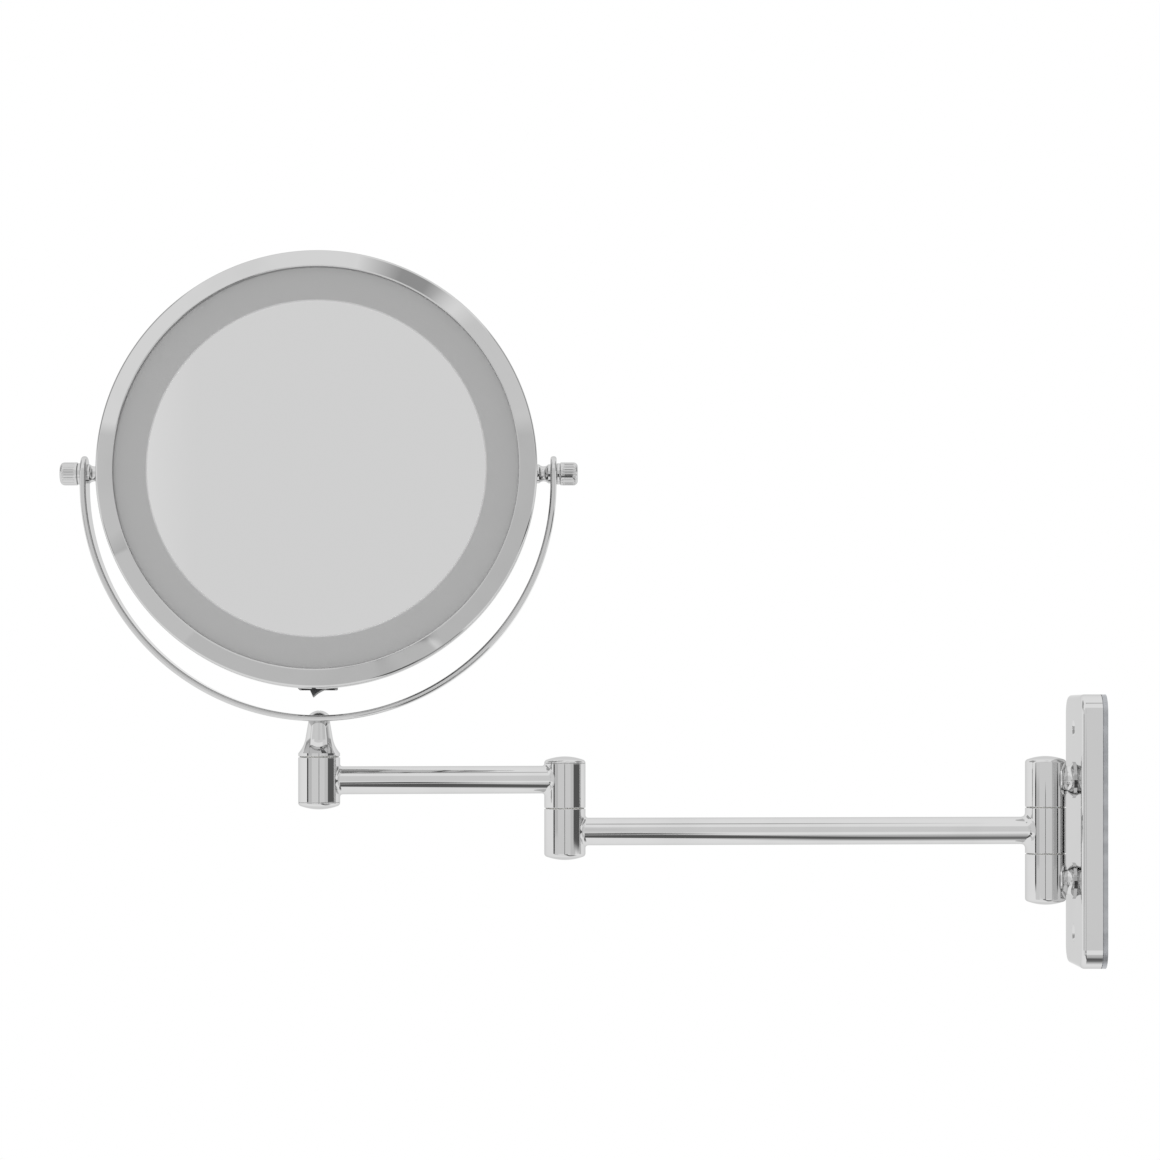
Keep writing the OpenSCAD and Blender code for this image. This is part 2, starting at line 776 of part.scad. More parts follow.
module yoke_strip() {
  color(chrome) at_yoke() difference() {
    union() {
      at_ring() rotate([0, 0, 180]) rotate_extrude(angle = 180)
        translate([yoke_in, 0]) rotate([0, 0, 90]) mirror([0, 1]) strip_section(strip_w);
      for (s = [0, 1]) mirror([s, 0, 0]) translate([yoke_in, 0, pivot_z]) {
        translate([0, 0, -yoke_rise]) linear_extrude(yoke_rise)
          rotate([0, 0, 90]) mirror([0, 1]) strip_section(strip_w);
        rotate([0, 90, 0]) rotate([0, 0, 90]) rotate_extrude(angle = 180) half_strip_section();
      }
    }
    translate([0, 0, pivot_z]) rod(stud_d / 2 + run_clear, -2 * yoke_r, 2 * yoke_r);
    translate([0, 0, neck_top_z - 1]) cylinder(r = yoke_screw_d / 2, h = strip_t + 2);
    translate([0, 0, neck_top_z + strip_t]) cylinder(r = yoke_screw_head_d / 2 + loose, h = strip_t);
  }
}

module yoke_screw() {
  seat = neck_top_z + strip_t;
  hr = yoke_screw_head_d / 2;
  hh = yoke_screw_head_h;
  dome = (pow(hr, 2) + pow(hh, 2)) / (2 * hh);
  color(chrome) at_yoke() {
    translate([0, 0, seat]) rotate_extrude() intersection() {
      square([hr, hh]);
      translate([0, hh - dome]) circle(dome, $fn = 240);
    }
    translate([0, 0, spindle_top + face_clear])
      cylinder(r = yoke_screw_d / 2, h = seat - spindle_top);
  }
}

// Head shells

module front_bezel() {
  centre = [rim_r - rim_edge, rim_mid_z];
  tip_z = rim_tan_z - (rim_r - rim_tan_r) * tan(rim_slope);
  color(chrome) at_head() rotate_extrude($fn = 180) difference() {
    polygon([
      [lip_r, glass_front], [lip_r, lip_z - lip_soft], [lip_r + lip_soft, lip_z],
      [rim_r, tip_z],
      [rim_r, skirt_z + skirt_edge], [rim_r - skirt_edge, skirt_z], [housing_r + face_clear, skirt_z],
      [housing_r + face_clear, housing_front], [glass_r + loose, housing_front],
      [glass_r + loose, glass_front]
    ]);
    difference() {
      polygon([centre, [rim_tan_r, rim_tan_z], [rim_r + 1, rim_tan_z + 1], [rim_r + 1, rim_mid_z]]);
      translate(centre) circle(rim_edge);
    }
  }
}

module housing_outline() {
  difference() {
    union() {
      translate([0, housing_edge - back_z]) square([housing_r, housing_front + back_z - housing_edge]);
      translate([0, -back_z]) square([housing_r - housing_edge, back_z]);
      translate([housing_r - housing_edge, housing_edge - back_z]) circle(housing_edge);
    }
    polygon([
      [-1, housing_front + 1], [wall_in_front, housing_front + 1], [wall_in_front, carrier_z],
      [wall_in_back, carrier_z], [wall_in_back, housing_wall + corner_in - back_z],
      [floor_r, housing_wall - back_z], [back_open_r, housing_wall - back_z],
      [back_open_r, -back_z - 1], [-1, -back_z - 1]
    ]);
  }
}

back_rim_edge = 0.9;

module at_legs() { for (k = [0:3]) rotate([0, 0, 45 + 90 * k]) translate([leg_ring, 0, 0]) children(); }

module housing() {
  color(chrome) at_head() difference() {
    union() {
      rotate_extrude($fn = 180) housing_outline();
      on_both_sides() rod(pad_r, pad_in, wall_in_back + housing_wall / 2);
    }
    rod(stud_d / 2, -2 * housing_r, 2 * housing_r);
    translate([-body_w / 2, -2 * housing_r, -body_d / 2])
      cube([body_w, 2 * housing_r + body_back + 1, body_d]);
    at_legs() {
      translate([0, 0, -back_z - 1]) cylinder(r = leg_screw_r + loose, h = housing_wall + 2);
      translate([0, 0, -back_z])
        cylinder(r1 = leg_screw_r + leg_sink, r2 = leg_screw_r, h = leg_sink);
    }
  }
}

module back_bezel() {
  e = back_rim_edge;
  color(chrome) at_head() rotate_extrude($fn = 180) translate([0, -back_z - back_rim_t]) {
    translate([back_rim_in, e]) square([back_rim_out - back_rim_in, back_rim_t - e]);
    translate([back_rim_in + e, 0]) square([back_rim_out - back_rim_in - 2 * e, e]);
    for (r = [back_rim_in + e, back_rim_out - e]) translate([r, e]) circle(e);
  }
}

glass_bevel = 0.3;

module front_glass() {
  color(glass) at_head() translate([0, 0, glass_back]) rotate_extrude($fn = 180)
    polygon([[0, 0], [glass_r - glass_bevel, 0], [glass_r, glass_bevel], [glass_r, glass_t - glass_bevel],
             [glass_r - glass_bevel, glass_t], [0, glass_t]]);
}

// Slumped glass: both faces are spheres about one centre behind the head
module back_mirror() {
  centre = -back_z - mirror_drop;
  color(glass) at_head() rotate_extrude($fn = 180) intersection() {
    translate([0, -back_z - 1]) square([mirror_r, 4 * back_z]);
    difference() {
      translate([0, centre]) circle(magnify_r + magnify_t, $fn = 2400);
      translate([0, centre]) circle(magnify_r, $fn = 2400);
    }
  }
}

// Head inner parts

light_lap = 1;

module diffuser_ring() {
  outer = glass_r;
  inner = clear_r - light_lap;
  color(plastic) at_head() translate([0, 0, carrier_z + carrier_t]) rotate_extrude($fn = 120) {
    translate([inner, diffuser_h - diffuser_wall]) square([outer - inner, diffuser_wall]);
    translate([inner, 0]) square([diffuser_wall, diffuser_h]);
    translate([outer - diffuser_wall, 0]) square([diffuser_wall, diffuser_h]);
  }
}

board_in = clear_r - light_lap + diffuser_wall + loose;
board_out = glass_r - diffuser_wall - loose;

module lamp_board() {
  color(board_white) at_head() translate([0, 0, carrier_z + carrier_t]) ring(board_out, board_in, board_t);
}

lamp_w = 3.5;
lamp_l = 2.8;

module lamps_set() {
  color(lamp_yellow) at_head() for (k = [0:lamps - 1]) rotate([0, 0, 360 * (k + 0.5) / lamps])
    translate([(board_in + board_out) / 2, 0, carrier_z + carrier_t + board_t + lamp_h / 2])
      cube([lamp_l, lamp_w, lamp_h], center = true);
}

wire_r = 0.6;
wire_pair = 1.5 * wire_r;
wire_x = 9;
wire_z = 2;
// Slack of a wire between its ends
wire_slack = 14;
wire_hole_in = 3.5;
wire_hole_r = 2;
wire_hole = [wire_x, -clear_r - wire_hole_in, 0];

module carrier() {
  color(plastic) at_head() difference() {
    union() {
      translate([0, 0, carrier_z]) cylinder(r = wall_in_front - loose, h = carrier_t);
      at_legs() translate([0, 0, housing_wall - back_z])
        cylinder(r = leg_r, h = carrier_z + back_z - housing_wall);
    }
    at_legs() translate([0, 0, -back_z]) cylinder(r = leg_screw_r, h = leg_screw_len + 2);
    translate(wire_hole) cylinder(r = wire_hole_r, h = 2 * carrier_z);
  }
}

module carrier_screws() {
  color(steel) at_head() at_legs() translate([0, 0, -back_z]) {
    cylinder(r1 = leg_screw_r + leg_sink, r2 = leg_screw_r, h = leg_sink);
    cylinder(r = leg_screw_r, h = leg_screw_len);
  }
}

module at_cells() {
  for (k = [0:cells - 1]) translate([0, (k - (cells - 1) / 2) * cell_pitch, cell_z])
    mirror([k % 2, 0, 0]) children();
}

module battery_box() {
  color(black) at_head() difference() {
    translate([-box_in_l / 2 - box_wall, -box_in_w / 2 - box_wall, box_back])
      cube([box_in_l + 2 * box_wall, box_in_w + 2 * box_wall, carrier_z - box_back]);
    at_cells() translate([-box_in_l / 2, -(cell_pitch - cell_web) / 2, -cell_d])
      cube([box_in_l, cell_pitch - cell_web, 1.5 * cell_d + face_clear]);
  }
}

cell_web = 0.5;
cell_tip_h = 1;
cell_tip_r = 1.9;
contact_in = 0.7;
lid_corner = 2;

module battery_cells() {
  color(cell_green) at_head() at_cells() translate([spring_len + contact_t - box_in_l / 2, 0, 0]) {
    rod(cell_d / 2, 0, cell_len - cell_tip_h);
    rod(cell_tip_r, cell_len - cell_tip_h, cell_len);
  }
}

module battery_contacts() {
  side = cell_d - 2 * contact_in;
  color(steel) at_head() at_cells() for (x = [0, box_in_l - contact_t])
    translate([x - box_in_l / 2, -side / 2, -side / 2]) cube([contact_t, side, side]);
}

// Conical coil spring from the contact to the cell
spring_turns = 4;
spring_steps = 14;
spring_sides = 6;
spring_wire = 0.35;
spring_r = 3.6;
spring_taper = 1.5;

module battery_springs() {
  steps = spring_steps * spring_turns;
  path = [for (k = [0:steps]) let (s = k / steps, turn = 360 * spring_turns * s,
                                      r = spring_r - spring_taper * s)
    [spring_wire + s * (spring_len - 2 * spring_wire), r * cos(turn), r * sin(turn)]];
  color(steel) at_head() at_cells() translate([contact_t - box_in_l / 2, 0, 0])
    wire(path, spring_wire, spring_sides, [1, 0, 0]);
}

module battery_lid() {
  color(black) at_head() translate([0, 0, box_back - lid_t]) linear_extrude(lid_t)
    round_rect(box_in_l + 2 * box_wall, box_in_w + 2 * box_wall, lid_corner);
}

// Pivot hardware, the same on both sides

module on_both_sides() { for (s = [0, 1]) mirror([s, 0, 0]) children(); }

knob_cap_t = 3;
stud_gap = 0.3;
// Share of a spacer's length that stays straight at each end of its waist
spacer_flange = 0.16;
stud_end = yoke_r + collar_t + knob_len - knob_cap_t;
stud_head_lap = 2;
stud_head_r = stud_d / 2 + stud_head_lap;

module pivot_studs() {
  color(steel) at_head() on_both_sides() translate([pad_in - stud_head_t, 0, 0]) {
    rod(stud_d / 2, 0, stud_end - pad_in + stud_head_t);
    rotate([0, 90, 0]) cylinder(r = stud_head_r, h = stud_head_t, $fn = 6);
  }
}

// Turned spacer: a foot shaped to the pan, then a waist up to the yoke
module pivot_spacers() {
  gap = yoke_in - face_clear - boss_r;
  flange = gap * spacer_flange;
  arc = pow(gap / 2 - flange, 2) / (2 * spacer_waist) + spacer_waist / 2;
  bore = stud_d / 2;
  color(chrome) at_head() on_both_sides() difference() {
    rotate([0, 90, 0]) rotate_extrude() difference() {
      polygon([[bore, housing_r - 1], [spacer_foot_r, housing_r - 1], [spacer_foot_r, boss_r],
               [spacer_d / 2, boss_r], [spacer_d / 2, boss_r + gap], [bore, boss_r + gap]]);
      translate([spacer_d / 2 - spacer_waist + arc, boss_r + gap / 2]) circle(arc, $fn = 240);
    }
    cylinder(r = housing_r, h = 2 * spacer_d, center = true, $fn = 180);
  }
}

module pivot_collars() {
  color(chrome) at_head() on_both_sides() translate([yoke_r + face_clear, 0, 0]) rotate([0, 90, 0])
    ring(collar_d / 2, stud_d / 2, collar_t - face_clear);
}

knob_chamfer = 0.4;
flute_start = 0.9;
// Share of the nose that the flutes leave smooth
flute_stop = 0.9;

module knob() {
  start = yoke_r + collar_t + face_clear;
  end = yoke_r + collar_t + knob_len;
  r = knob_d / 2;
  difference() {
    translate([start, 0, 0]) rotate([0, 90, 0]) rotate_extrude() intersection() {
      union() {
        translate([0, knob_chamfer]) square([r, end - start - knob_nose - knob_chamfer]);
        square([r - knob_chamfer, end - start]);
        translate([r - knob_nose, end - start - knob_nose]) circle(knob_nose);
      }
      union() {
        square([r - knob_nose, end - start]);
        square([r, end - start - knob_nose]);
        translate([r - knob_nose, end - start - knob_nose]) circle(knob_nose);
      }
    }
    rod(stud_d / 2 + run_clear, start - 1, stud_end + stud_gap);
    for (k = [0:flutes - 1]) rotate([360 * k / flutes, 0, 0]) translate([0, r, 0])
      rod(flute_d / 2, start + flute_start, end - flute_stop * knob_nose);
  }
}

module right_knob() { color(chrome) at_head() knob(); }

module left_knob() { color(chrome) at_head() mirror([1, 0, 0]) knob(); }

// Switch under the rim

module switch_body() {
  color(black) at_head() difference() {
    union() {
      difference() {
        translate([0, flange_y, 0]) rotate([-90, 0, 0]) linear_extrude(switch_lift + 1)
          round_rect(switch_w, switch_d, switch_corner);
        cylinder(r = housing_r, h = 2 * switch_d, center = true);
      }
      translate([-body_w / 2, flange_y, -body_d / 2]) cube([body_w, body_back - flange_y, body_d]);
    }
    translate([-cavity_w / 2, flange_y - 1, -cavity_d / 2])
      cube([cavity_w, rocker_sink + rocker_turn_room + 1, cavity_d]);
    translate([0, rocker_y, 0]) cylinder(r = rocker_pin_r, h = 2 * body_d, center = true);
  }
}

module switch_terminals() {
  color(brass) at_head() for (s = [-1, 1])
    translate([s * terminal_x - terminal[0] / 2, body_back, -terminal[2] / 2]) cube(terminal);
}

module rocker_pin() {
  color(steel) at_head() translate([0, rocker_y, 0])
    cylinder(r = rocker_pin_r, h = body_d, center = true);
}

// Rocker outline about its pivot, ridge pointing down, hollow flanks
rocker_end = 3.6;
rocker_top = 2.4;
rocker_hollow = 14;
rocker_hub_r = 2;
// The web between hub and plate widens to this and runs this far into the plate
rocker_web_r = 2.6;
rocker_web_in = 0.48;

module rocker_outline() {
  flank = norm([rocker_half, rocker_reach - rocker_end]);
  difference() {
    union() {
      polygon([[-rocker_half, -rocker_top], [-rocker_half, -rocker_end], [0, -rocker_reach],
               [rocker_half, -rocker_end], [rocker_half, -rocker_top]]);
      polygon([[-rocker_hub_r, 0], [-rocker_web_r, -rocker_top - rocker_web_in],
               [rocker_web_r, -rocker_top - rocker_web_in], [rocker_hub_r, 0]]);
      circle(rocker_hub_r);
    }
    for (s = [-1, 1]) {
      mid = [s * rocker_half / 2, -(rocker_end + rocker_reach) / 2];
      out = [s * (rocker_reach - rocker_end), -rocker_half] / flank;
      translate(mid + out * sqrt(pow(rocker_hollow, 2) - pow(flank / 2, 2)))
        circle(rocker_hollow, $fn = 360);
    }
    circle(rocker_pin_r + run_clear);
  }
}

module switch_rocker() {
  color(black) at_head() translate([0, rocker_y, -rocker_t / 2]) rotate([0, 0, -rocker_throw])
    linear_extrude(rocker_t) rocker_outline();
}

// Wires: cell box to switch, switch to lamp board, cell box to lamp board

wire_steps = 14;
wire_sides = 8;
// A wire's end stays this far under the lamp board
wire_stop = 0.1;
// Shares of the slack in the tight and the wide bends
tight_bend = 0.6;
wide_bend = 1.5;

module bent_wire(a, b, c, d, aside) {
  wire([for (k = [0:wire_steps]) bend(a, b, c, d, k / wire_steps)], wire_r, wire_sides, aside);
}

module inner_wires() {
  low = -box_in_w / 2 - box_wall;
  left_tab = [-terminal_x, body_back + terminal[1], 0];
  right_tab = [terminal_x, body_back + terminal[1], 0];
  pad = [wire_hole[0], wire_hole[1], carrier_z + carrier_t - wire_stop];
  slack = [0, wire_slack, 0];
  pair = [wire_pair, 0, 0];
  rise = [0, 0, wire_slack];
  color(wire_red) at_head() {
    start = [-wire_x, low, wire_z];
    bent_wire(start, start - slack, left_tab + slack, left_tab, [0, 0, 1]);
  }
  color(wire_dark) at_head() {
    start = [wire_x, low, wire_z];
    bent_wire(right_tab, right_tab + tight_bend * slack,
              pad - pair - tight_bend * rise, pad - pair, [1, 0, 0]);
    bent_wire(start, start - wide_bend * slack, pad + pair - rise, pad + pair, [1, 0, 0]);
  }
}

wall_base();
wall_cover();
upper_wall_knuckle();
lower_wall_knuckle();
post_screws();
wall_hinge_pin();
wall_washers();
inner_hub();
inner_tube();
inner_wall_fillet();
lower_elbow_fillet();
elbow_lower_knuckle();
elbow_pin();
elbow_washer();
elbow_spring_washer();
elbow_screw();
elbow_upper_knuckle();
elbow_cap();
outer_tube();
upper_elbow_fillet();
hub_fillet();
end_hub();
hub_cap();
neck();
neck_spindle();
neck_washer();
neck_spring_washer();
neck_retaining_screw();
yoke_strip();
yoke_screw();
front_bezel();
housing();
back_bezel();
front_glass();
diffuser_ring();
lamp_board();
lamps_set();
carrier();
carrier_screws();
battery_box();
battery_cells();
battery_contacts();
battery_springs();
battery_lid();
back_mirror();
pivot_studs();
pivot_spacers();
pivot_collars();
switch_body();
switch_terminals();
rocker_pin();
inner_wires();
left_knob();
right_knob();
switch_rocker();
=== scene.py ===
import json
import math

import bmesh
import bpy
from mathutils import Matrix, Vector


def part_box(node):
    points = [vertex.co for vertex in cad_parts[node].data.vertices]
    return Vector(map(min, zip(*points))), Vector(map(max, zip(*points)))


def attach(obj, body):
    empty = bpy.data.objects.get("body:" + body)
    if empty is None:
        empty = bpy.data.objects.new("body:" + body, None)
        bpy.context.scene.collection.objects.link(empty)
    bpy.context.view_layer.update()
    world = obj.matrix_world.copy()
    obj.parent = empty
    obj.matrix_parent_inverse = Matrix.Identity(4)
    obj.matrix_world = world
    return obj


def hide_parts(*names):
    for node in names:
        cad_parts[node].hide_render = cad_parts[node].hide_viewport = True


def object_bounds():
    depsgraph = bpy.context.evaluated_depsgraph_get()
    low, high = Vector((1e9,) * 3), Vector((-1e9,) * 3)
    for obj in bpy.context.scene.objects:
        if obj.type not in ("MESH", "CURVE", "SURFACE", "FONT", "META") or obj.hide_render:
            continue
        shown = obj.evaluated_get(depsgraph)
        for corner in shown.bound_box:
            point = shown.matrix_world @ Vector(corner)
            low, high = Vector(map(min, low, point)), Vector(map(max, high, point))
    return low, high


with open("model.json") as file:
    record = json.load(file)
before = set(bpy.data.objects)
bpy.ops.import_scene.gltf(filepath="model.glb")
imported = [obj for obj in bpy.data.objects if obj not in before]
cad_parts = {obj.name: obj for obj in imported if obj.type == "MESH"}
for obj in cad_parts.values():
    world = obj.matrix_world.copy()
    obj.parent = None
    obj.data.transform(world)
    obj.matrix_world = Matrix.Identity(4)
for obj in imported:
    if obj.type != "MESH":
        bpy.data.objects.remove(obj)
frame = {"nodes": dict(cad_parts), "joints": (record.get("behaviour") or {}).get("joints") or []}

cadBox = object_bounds()
mm = 0.001
print("frame loaded:", len(frame["nodes"]), "nodes")

# Places of the moving groups, worked out from the joints; points are in millimetres

joints = {j["name"]: j for j in frame["joints"]}


def jointPoint(name):
    return Vector(joints[name]["pos_m"]) / mm


def placeAt(origin, right, up):
    right = Vector(right).normalized()
    up = Vector(up).normalized()
    depth = up.cross(right)
    turn = Matrix((right, depth, up)).transposed().to_4x4()
    return Matrix.Translation(Vector(origin) * mm) @ turn


def onGround(point):
    return Vector((point.x, point.y, 0))


worldUp = (0, 0, 1)
stackPoint = onGround(jointPoint("wall_swing"))
elbowPoint = onGround(jointPoint("elbow_swing"))
hubPoint = onGround(jointPoint("neck_swivel"))
pivotPoint = jointPoint("head_tilt")
places = {
    "wall": Matrix.Identity(4),
    "stack": placeAt(stackPoint, (1, 0, 0), worldUp),
    "inner": placeAt(stackPoint, stackPoint - elbowPoint, worldUp),
    "elbow": placeAt(elbowPoint, stackPoint - elbowPoint, worldUp),
    "outer": placeAt(elbowPoint, elbowPoint - hubPoint, worldUp),
    "hub": placeAt(hubPoint, elbowPoint - hubPoint, worldUp),
    "yoke": placeAt(hubPoint, (1, 0, 0), worldUp),
    "head": placeAt(pivotPoint, (1, 0, 0), joints["rocker_switch"]["axis"]),
}
innerLength = (stackPoint - elbowPoint).length
outerLength = (elbowPoint - hubPoint).length


def heights(node):
    low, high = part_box(node)
    return low.z / mm, high.z / mm


# Outlines: lists of points in millimetres

supportGap = 0.06  # from a rounding to the point that keeps its flat side flat
seatGap = 0.05  # keeps two faces that meet from lying in one plane
onAxis = 1e-6  # a smaller radius is a tip
weldGap = 1e-5
quarters = ((1, 1), (-1, 1), (-1, -1), (1, -1))


def arc(centre, radius, start, stop, steps):
    turns = [math.radians(start + (stop - start) * k / steps) for k in range(steps + 1)]
    return [Vector((centre[0] + radius * math.cos(t), centre[1] + radius * math.sin(t)))
            for t in turns]


def roundedCorner(before, corner, after, radius, steps):
    back = (before - corner).normalized()
    on = (after - corner).normalized()
    half = back.angle(on) / 2
    reach = radius / math.tan(half)
    centre = corner + (back + on).normalized() * radius / math.sin(half)
    first = corner + back * reach - centre
    turn = first.angle_signed(corner + on * reach - centre)
    points = [corner + back * (reach + supportGap)]
    for k in range(steps + 1):
        points.append(centre + Matrix.Rotation(-turn * k / steps, 2) @ first)
    points.append(corner + on * (reach + supportGap))
    return points


def outline(*corners, closed=False, steps=6):
    # A corner is (x, y) or (x, y, rounding)
    points = []
    last = len(corners) - 1
    for k, corner in enumerate(corners):
        here = Vector(corner[:2])
        if len(corner) < 3 or (not closed and k in (0, last)):
            points.append(here)
            continue
        before = Vector(corners[k - 1][:2])
        after = Vector(corners[(k + 1) % len(corners)][:2])
        points += roundedCorner(before, here, after, corner[2], steps)
    return points


def roundRect(width, depth, radius, steps=8):
    points = []
    for k, (sx, sy) in enumerate(quarters):
        centre = (sx * (width / 2 - radius), sy * (depth / 2 - radius))
        points += arc(centre, radius, 90 * k, 90 * k + 90, steps)
    return points


# Meshes

def distinct(verts):
    # The same vertices in the same order, each only once
    found = []
    for v in verts:
        if v not in found:
            found.append(v)
    return found


def skin(loops, closedStack=False, capFirst=False, capLast=False):
    # Joins closed loops of as many points each; a loop of one point is a tip
    bm = bmesh.new()
    rows = [[bm.verts.new(p) for p in loop] for loop in loops]
    pairs = list(zip(rows, rows[1:]))
    if closedStack:
        pairs.append((rows[-1], rows[0]))
    for a, b in pairs:
        count = max(len(a), len(b))
        for k in range(count):
            n = (k + 1) % count
            corners = (a[k % len(a)], a[n % len(a)], b[n % len(b)], b[k % len(b)])
            bm.faces.new(distinct(corners))
    if capFirst:
        bm.faces.new(rows[0])
    if capLast:
        bm.faces.new(list(reversed(rows[-1])))
    return bm


def lathe(points, turns=128, closed=False, radiusAt=None):
    # Turns an outline of (radius, height) points round the height axis; radiusAt may vary the
    # radius on the way round
    loops = []
    for r, z in points:
        if r < onAxis:
            loops.append([(0, 0, z)])
            continue
        loop = []
        for k in range(turns):
            t = 2 * math.pi * k / turns
            here = radiusAt(r, z, t) if radiusAt else r
            loop.append((here * math.cos(t), here * math.sin(t), z))
        loops.append(loop)
    return skin(loops, closedStack=closed)


def turned(bm, matrix):
    bmesh.ops.transform(bm, matrix=matrix, verts=bm.verts)
    return bm


alongX = Matrix.Rotation(math.radians(90), 4, "Y")
flipZ = Matrix.Diagonal((1, 1, -1, 1))
flipX = Matrix.Diagonal((-1, 1, 1, 1))


def lift(z):
    return Matrix.Translation((0, 0, z))


def toMesh(bm, name):
    bmesh.ops.remove_doubles(bm, verts=bm.verts, dist=weldGap)
    bmesh.ops.recalc_face_normals(bm, faces=bm.faces)
    mesh = bpy.data.meshes.new(name)
    bm.to_mesh(mesh)
    bm.free()
    return mesh


def cutAway(bm, *cutters):
    # Exact boolean difference, made on meshes in millimetres
    body = bpy.data.objects.new("cutBody", toMesh(bm, "cutBody"))
    tools = [bpy.data.objects.new("cutTool", toMesh(c, "cutTool")) for c in cutters]
    for o in [body, *tools]:
        bpy.context.scene.collection.objects.link(o)
    for tool in tools:
        cut = body.modifiers.new("cut", "BOOLEAN")
        cut.operation = "DIFFERENCE"
        cut.solver = "EXACT"
        cut.object = tool
    bpy.context.view_layer.update()
    result = bmesh.new()
    result.from_object(body, bpy.context.evaluated_depsgraph_get())
    for o in [body, *tools]:
        mesh = o.data
        bpy.data.objects.remove(o)
        bpy.data.meshes.remove(mesh)
    return result


def piece(name, bm, place, body, material, nodes, sharp=32, flats=False):
    # Edges sharper than sharp degrees stay sharp; flats keeps the shading of flat faces even
    mesh = toMesh(bm, name)
    mesh.transform(Matrix.Scale(mm, 4))
    mesh.shade_smooth()
    mesh.set_sharp_from_angle(angle=math.radians(sharp))
    mesh.materials.append(material)
    o = bpy.data.objects.new(name, mesh)
    bpy.context.scene.collection.objects.link(o)
    if flats:
        weighted = o.modifiers.new("evenNormals", "WEIGHTED_NORMAL")
        weighted.keep_sharp = True
    o.matrix_world = places[place]
    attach(o, body)
    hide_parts(*nodes)


# Shader effects shared by several finishes

def effect(name, inputs, outputs, build):
    tree = bpy.data.node_groups.new(name, "ShaderNodeTree")
    number = "NodeSocketFloat"
    for label, value in inputs.items():
        socket = tree.interface.new_socket(name=label, in_out="INPUT", socket_type=number)
        socket.default_value = value
    for label in outputs:
        tree.interface.new_socket(name=label, in_out="OUTPUT", socket_type=number)
    given = tree.nodes.new("NodeGroupInput").outputs
    build(tree, given, tree.nodes.new("NodeGroupOutput").inputs)
    return tree


def add(tree, kind, links=None, **values):
    # A node with its properties set, and its inputs linked or filled by name or number
    node = tree.nodes.new("ShaderNode" + kind)
    for key, value in values.items():
        setattr(node, key, value)
    for key, value in (links or {}).items():
        socket = node.inputs[key]
        if isinstance(value, bpy.types.NodeSocket):
            tree.links.new(value, socket)
        else:
            socket.default_value = value
    return node


def calc(tree, operation, a, b=0.0, c=0.0):
    return add(tree, "Math", {0: a, 1: b, 2: c}, operation=operation).outputs[0]


def spread(tree, value, low, high, newLow, newHigh):
    # Takes the range from low to high over to a new range and stops at its ends
    return add(tree, "MapRange", {0: value, 1: low, 2: high, 3: newLow, 4: newHigh}).outputs[0]


def buildPolish(tree, given, out):
    # Soft waves left by the polishing wheel, with faint wipe marks over them
    spot = add(tree, "TexCoord").outputs["Object"]
    wave = add(tree, "TexNoise", {"Vector": spot, "Scale": given["Wave scale"], "Detail": 1.0})
    wipe = add(tree, "TexNoise", {"Vector": spot, "Scale": given["Wipe scale"], "Detail": 3.0})
    marks = spread(tree, wipe.outputs[0], 0.5, 0.75, 0.0, 1.0)
    rough = calc(tree, "MULTIPLY_ADD", marks, given["Wipe"], given["Roughness"])
    tree.links.new(rough, out["Roughness"])
    tree.links.new(wave.outputs[0], out["Height"])
    tree.links.new(marks, out["Marks"])


def buildGrain(tree, given, out):
    # Fine moulded or etched texture
    spot = add(tree, "TexCoord").outputs["Object"]
    cells = add(tree, "TexVoronoi", {"Vector": spot, "Scale": given["Scale"]}, feature="SMOOTH_F1")
    cloud = add(tree, "TexNoise", {"Vector": spot, "Scale": 120.0, "Detail": 2.0})
    tree.links.new(cells.outputs["Distance"], out["Height"])
    tree.links.new(spread(tree, cloud.outputs[0], 0.3, 0.7, 0.0, 1.0), out["Cloud"])


def buildBrush(tree, given, out):
    # Fine turning or drawing lines round an axis
    spot = add(tree, "TexCoord").outputs["Object"]
    across, along = given["Across"], given["Along"]
    stretch = add(tree, "CombineXYZ", {"X": across, "Y": across, "Z": along}).outputs[0]
    stretched = add(tree, "Mapping", {"Vector": spot, "Scale": stretch}).outputs[0]
    lines = add(tree, "TexNoise", {"Vector": stretched, "Scale": given["Scale"], "Detail": 4.0})
    tree.links.new(lines.outputs[0], out["Height"])
    tree.links.new(spread(tree, lines.outputs[0], 0.35, 0.65, 0.0, 1.0), out["Lines"])


polishMarks = effect("polishMarks",
                     {"Wave scale": 45, "Wipe scale": 30, "Wipe": 0.05, "Roughness": 0.03},
                     ["Roughness", "Height", "Marks"], buildPolish)
fineGrain = effect("fineGrain", {"Scale": 2500}, ["Height", "Cloud"], buildGrain)
brushLines = effect("brushLines", {"Scale": 60, "Across": 1, "Along": 14},
                    ["Height", "Lines"], buildBrush)


def placeEffect(tree, group, given):
    node = tree.nodes.new("ShaderNodeGroup")
    node.node_tree = group
    for label, value in given.items():
        node.inputs[label].default_value = value
    return node.outputs


def newMaterial(name, colour, metallic, roughness, fixed=None):
    material = bpy.data.materials.new(name)
    material.use_nodes = True
    tree = material.node_tree
    shader = tree.nodes["Principled BSDF"]
    shader.inputs["Base Color"].default_value = (*colour, 1)
    shader.inputs["Metallic"].default_value = metallic
    shader.inputs["Roughness"].default_value = roughness
    for label, value in (fixed or {}).items():
        shader.inputs[label].default_value = value
    return material, tree, shader


def addBump(tree, shader, height, strength, distance):
    bump = add(tree, "Bump", {"Height": height, "Strength": strength, "Distance": distance})
    tree.links.new(bump.outputs[0], shader.inputs["Normal"])


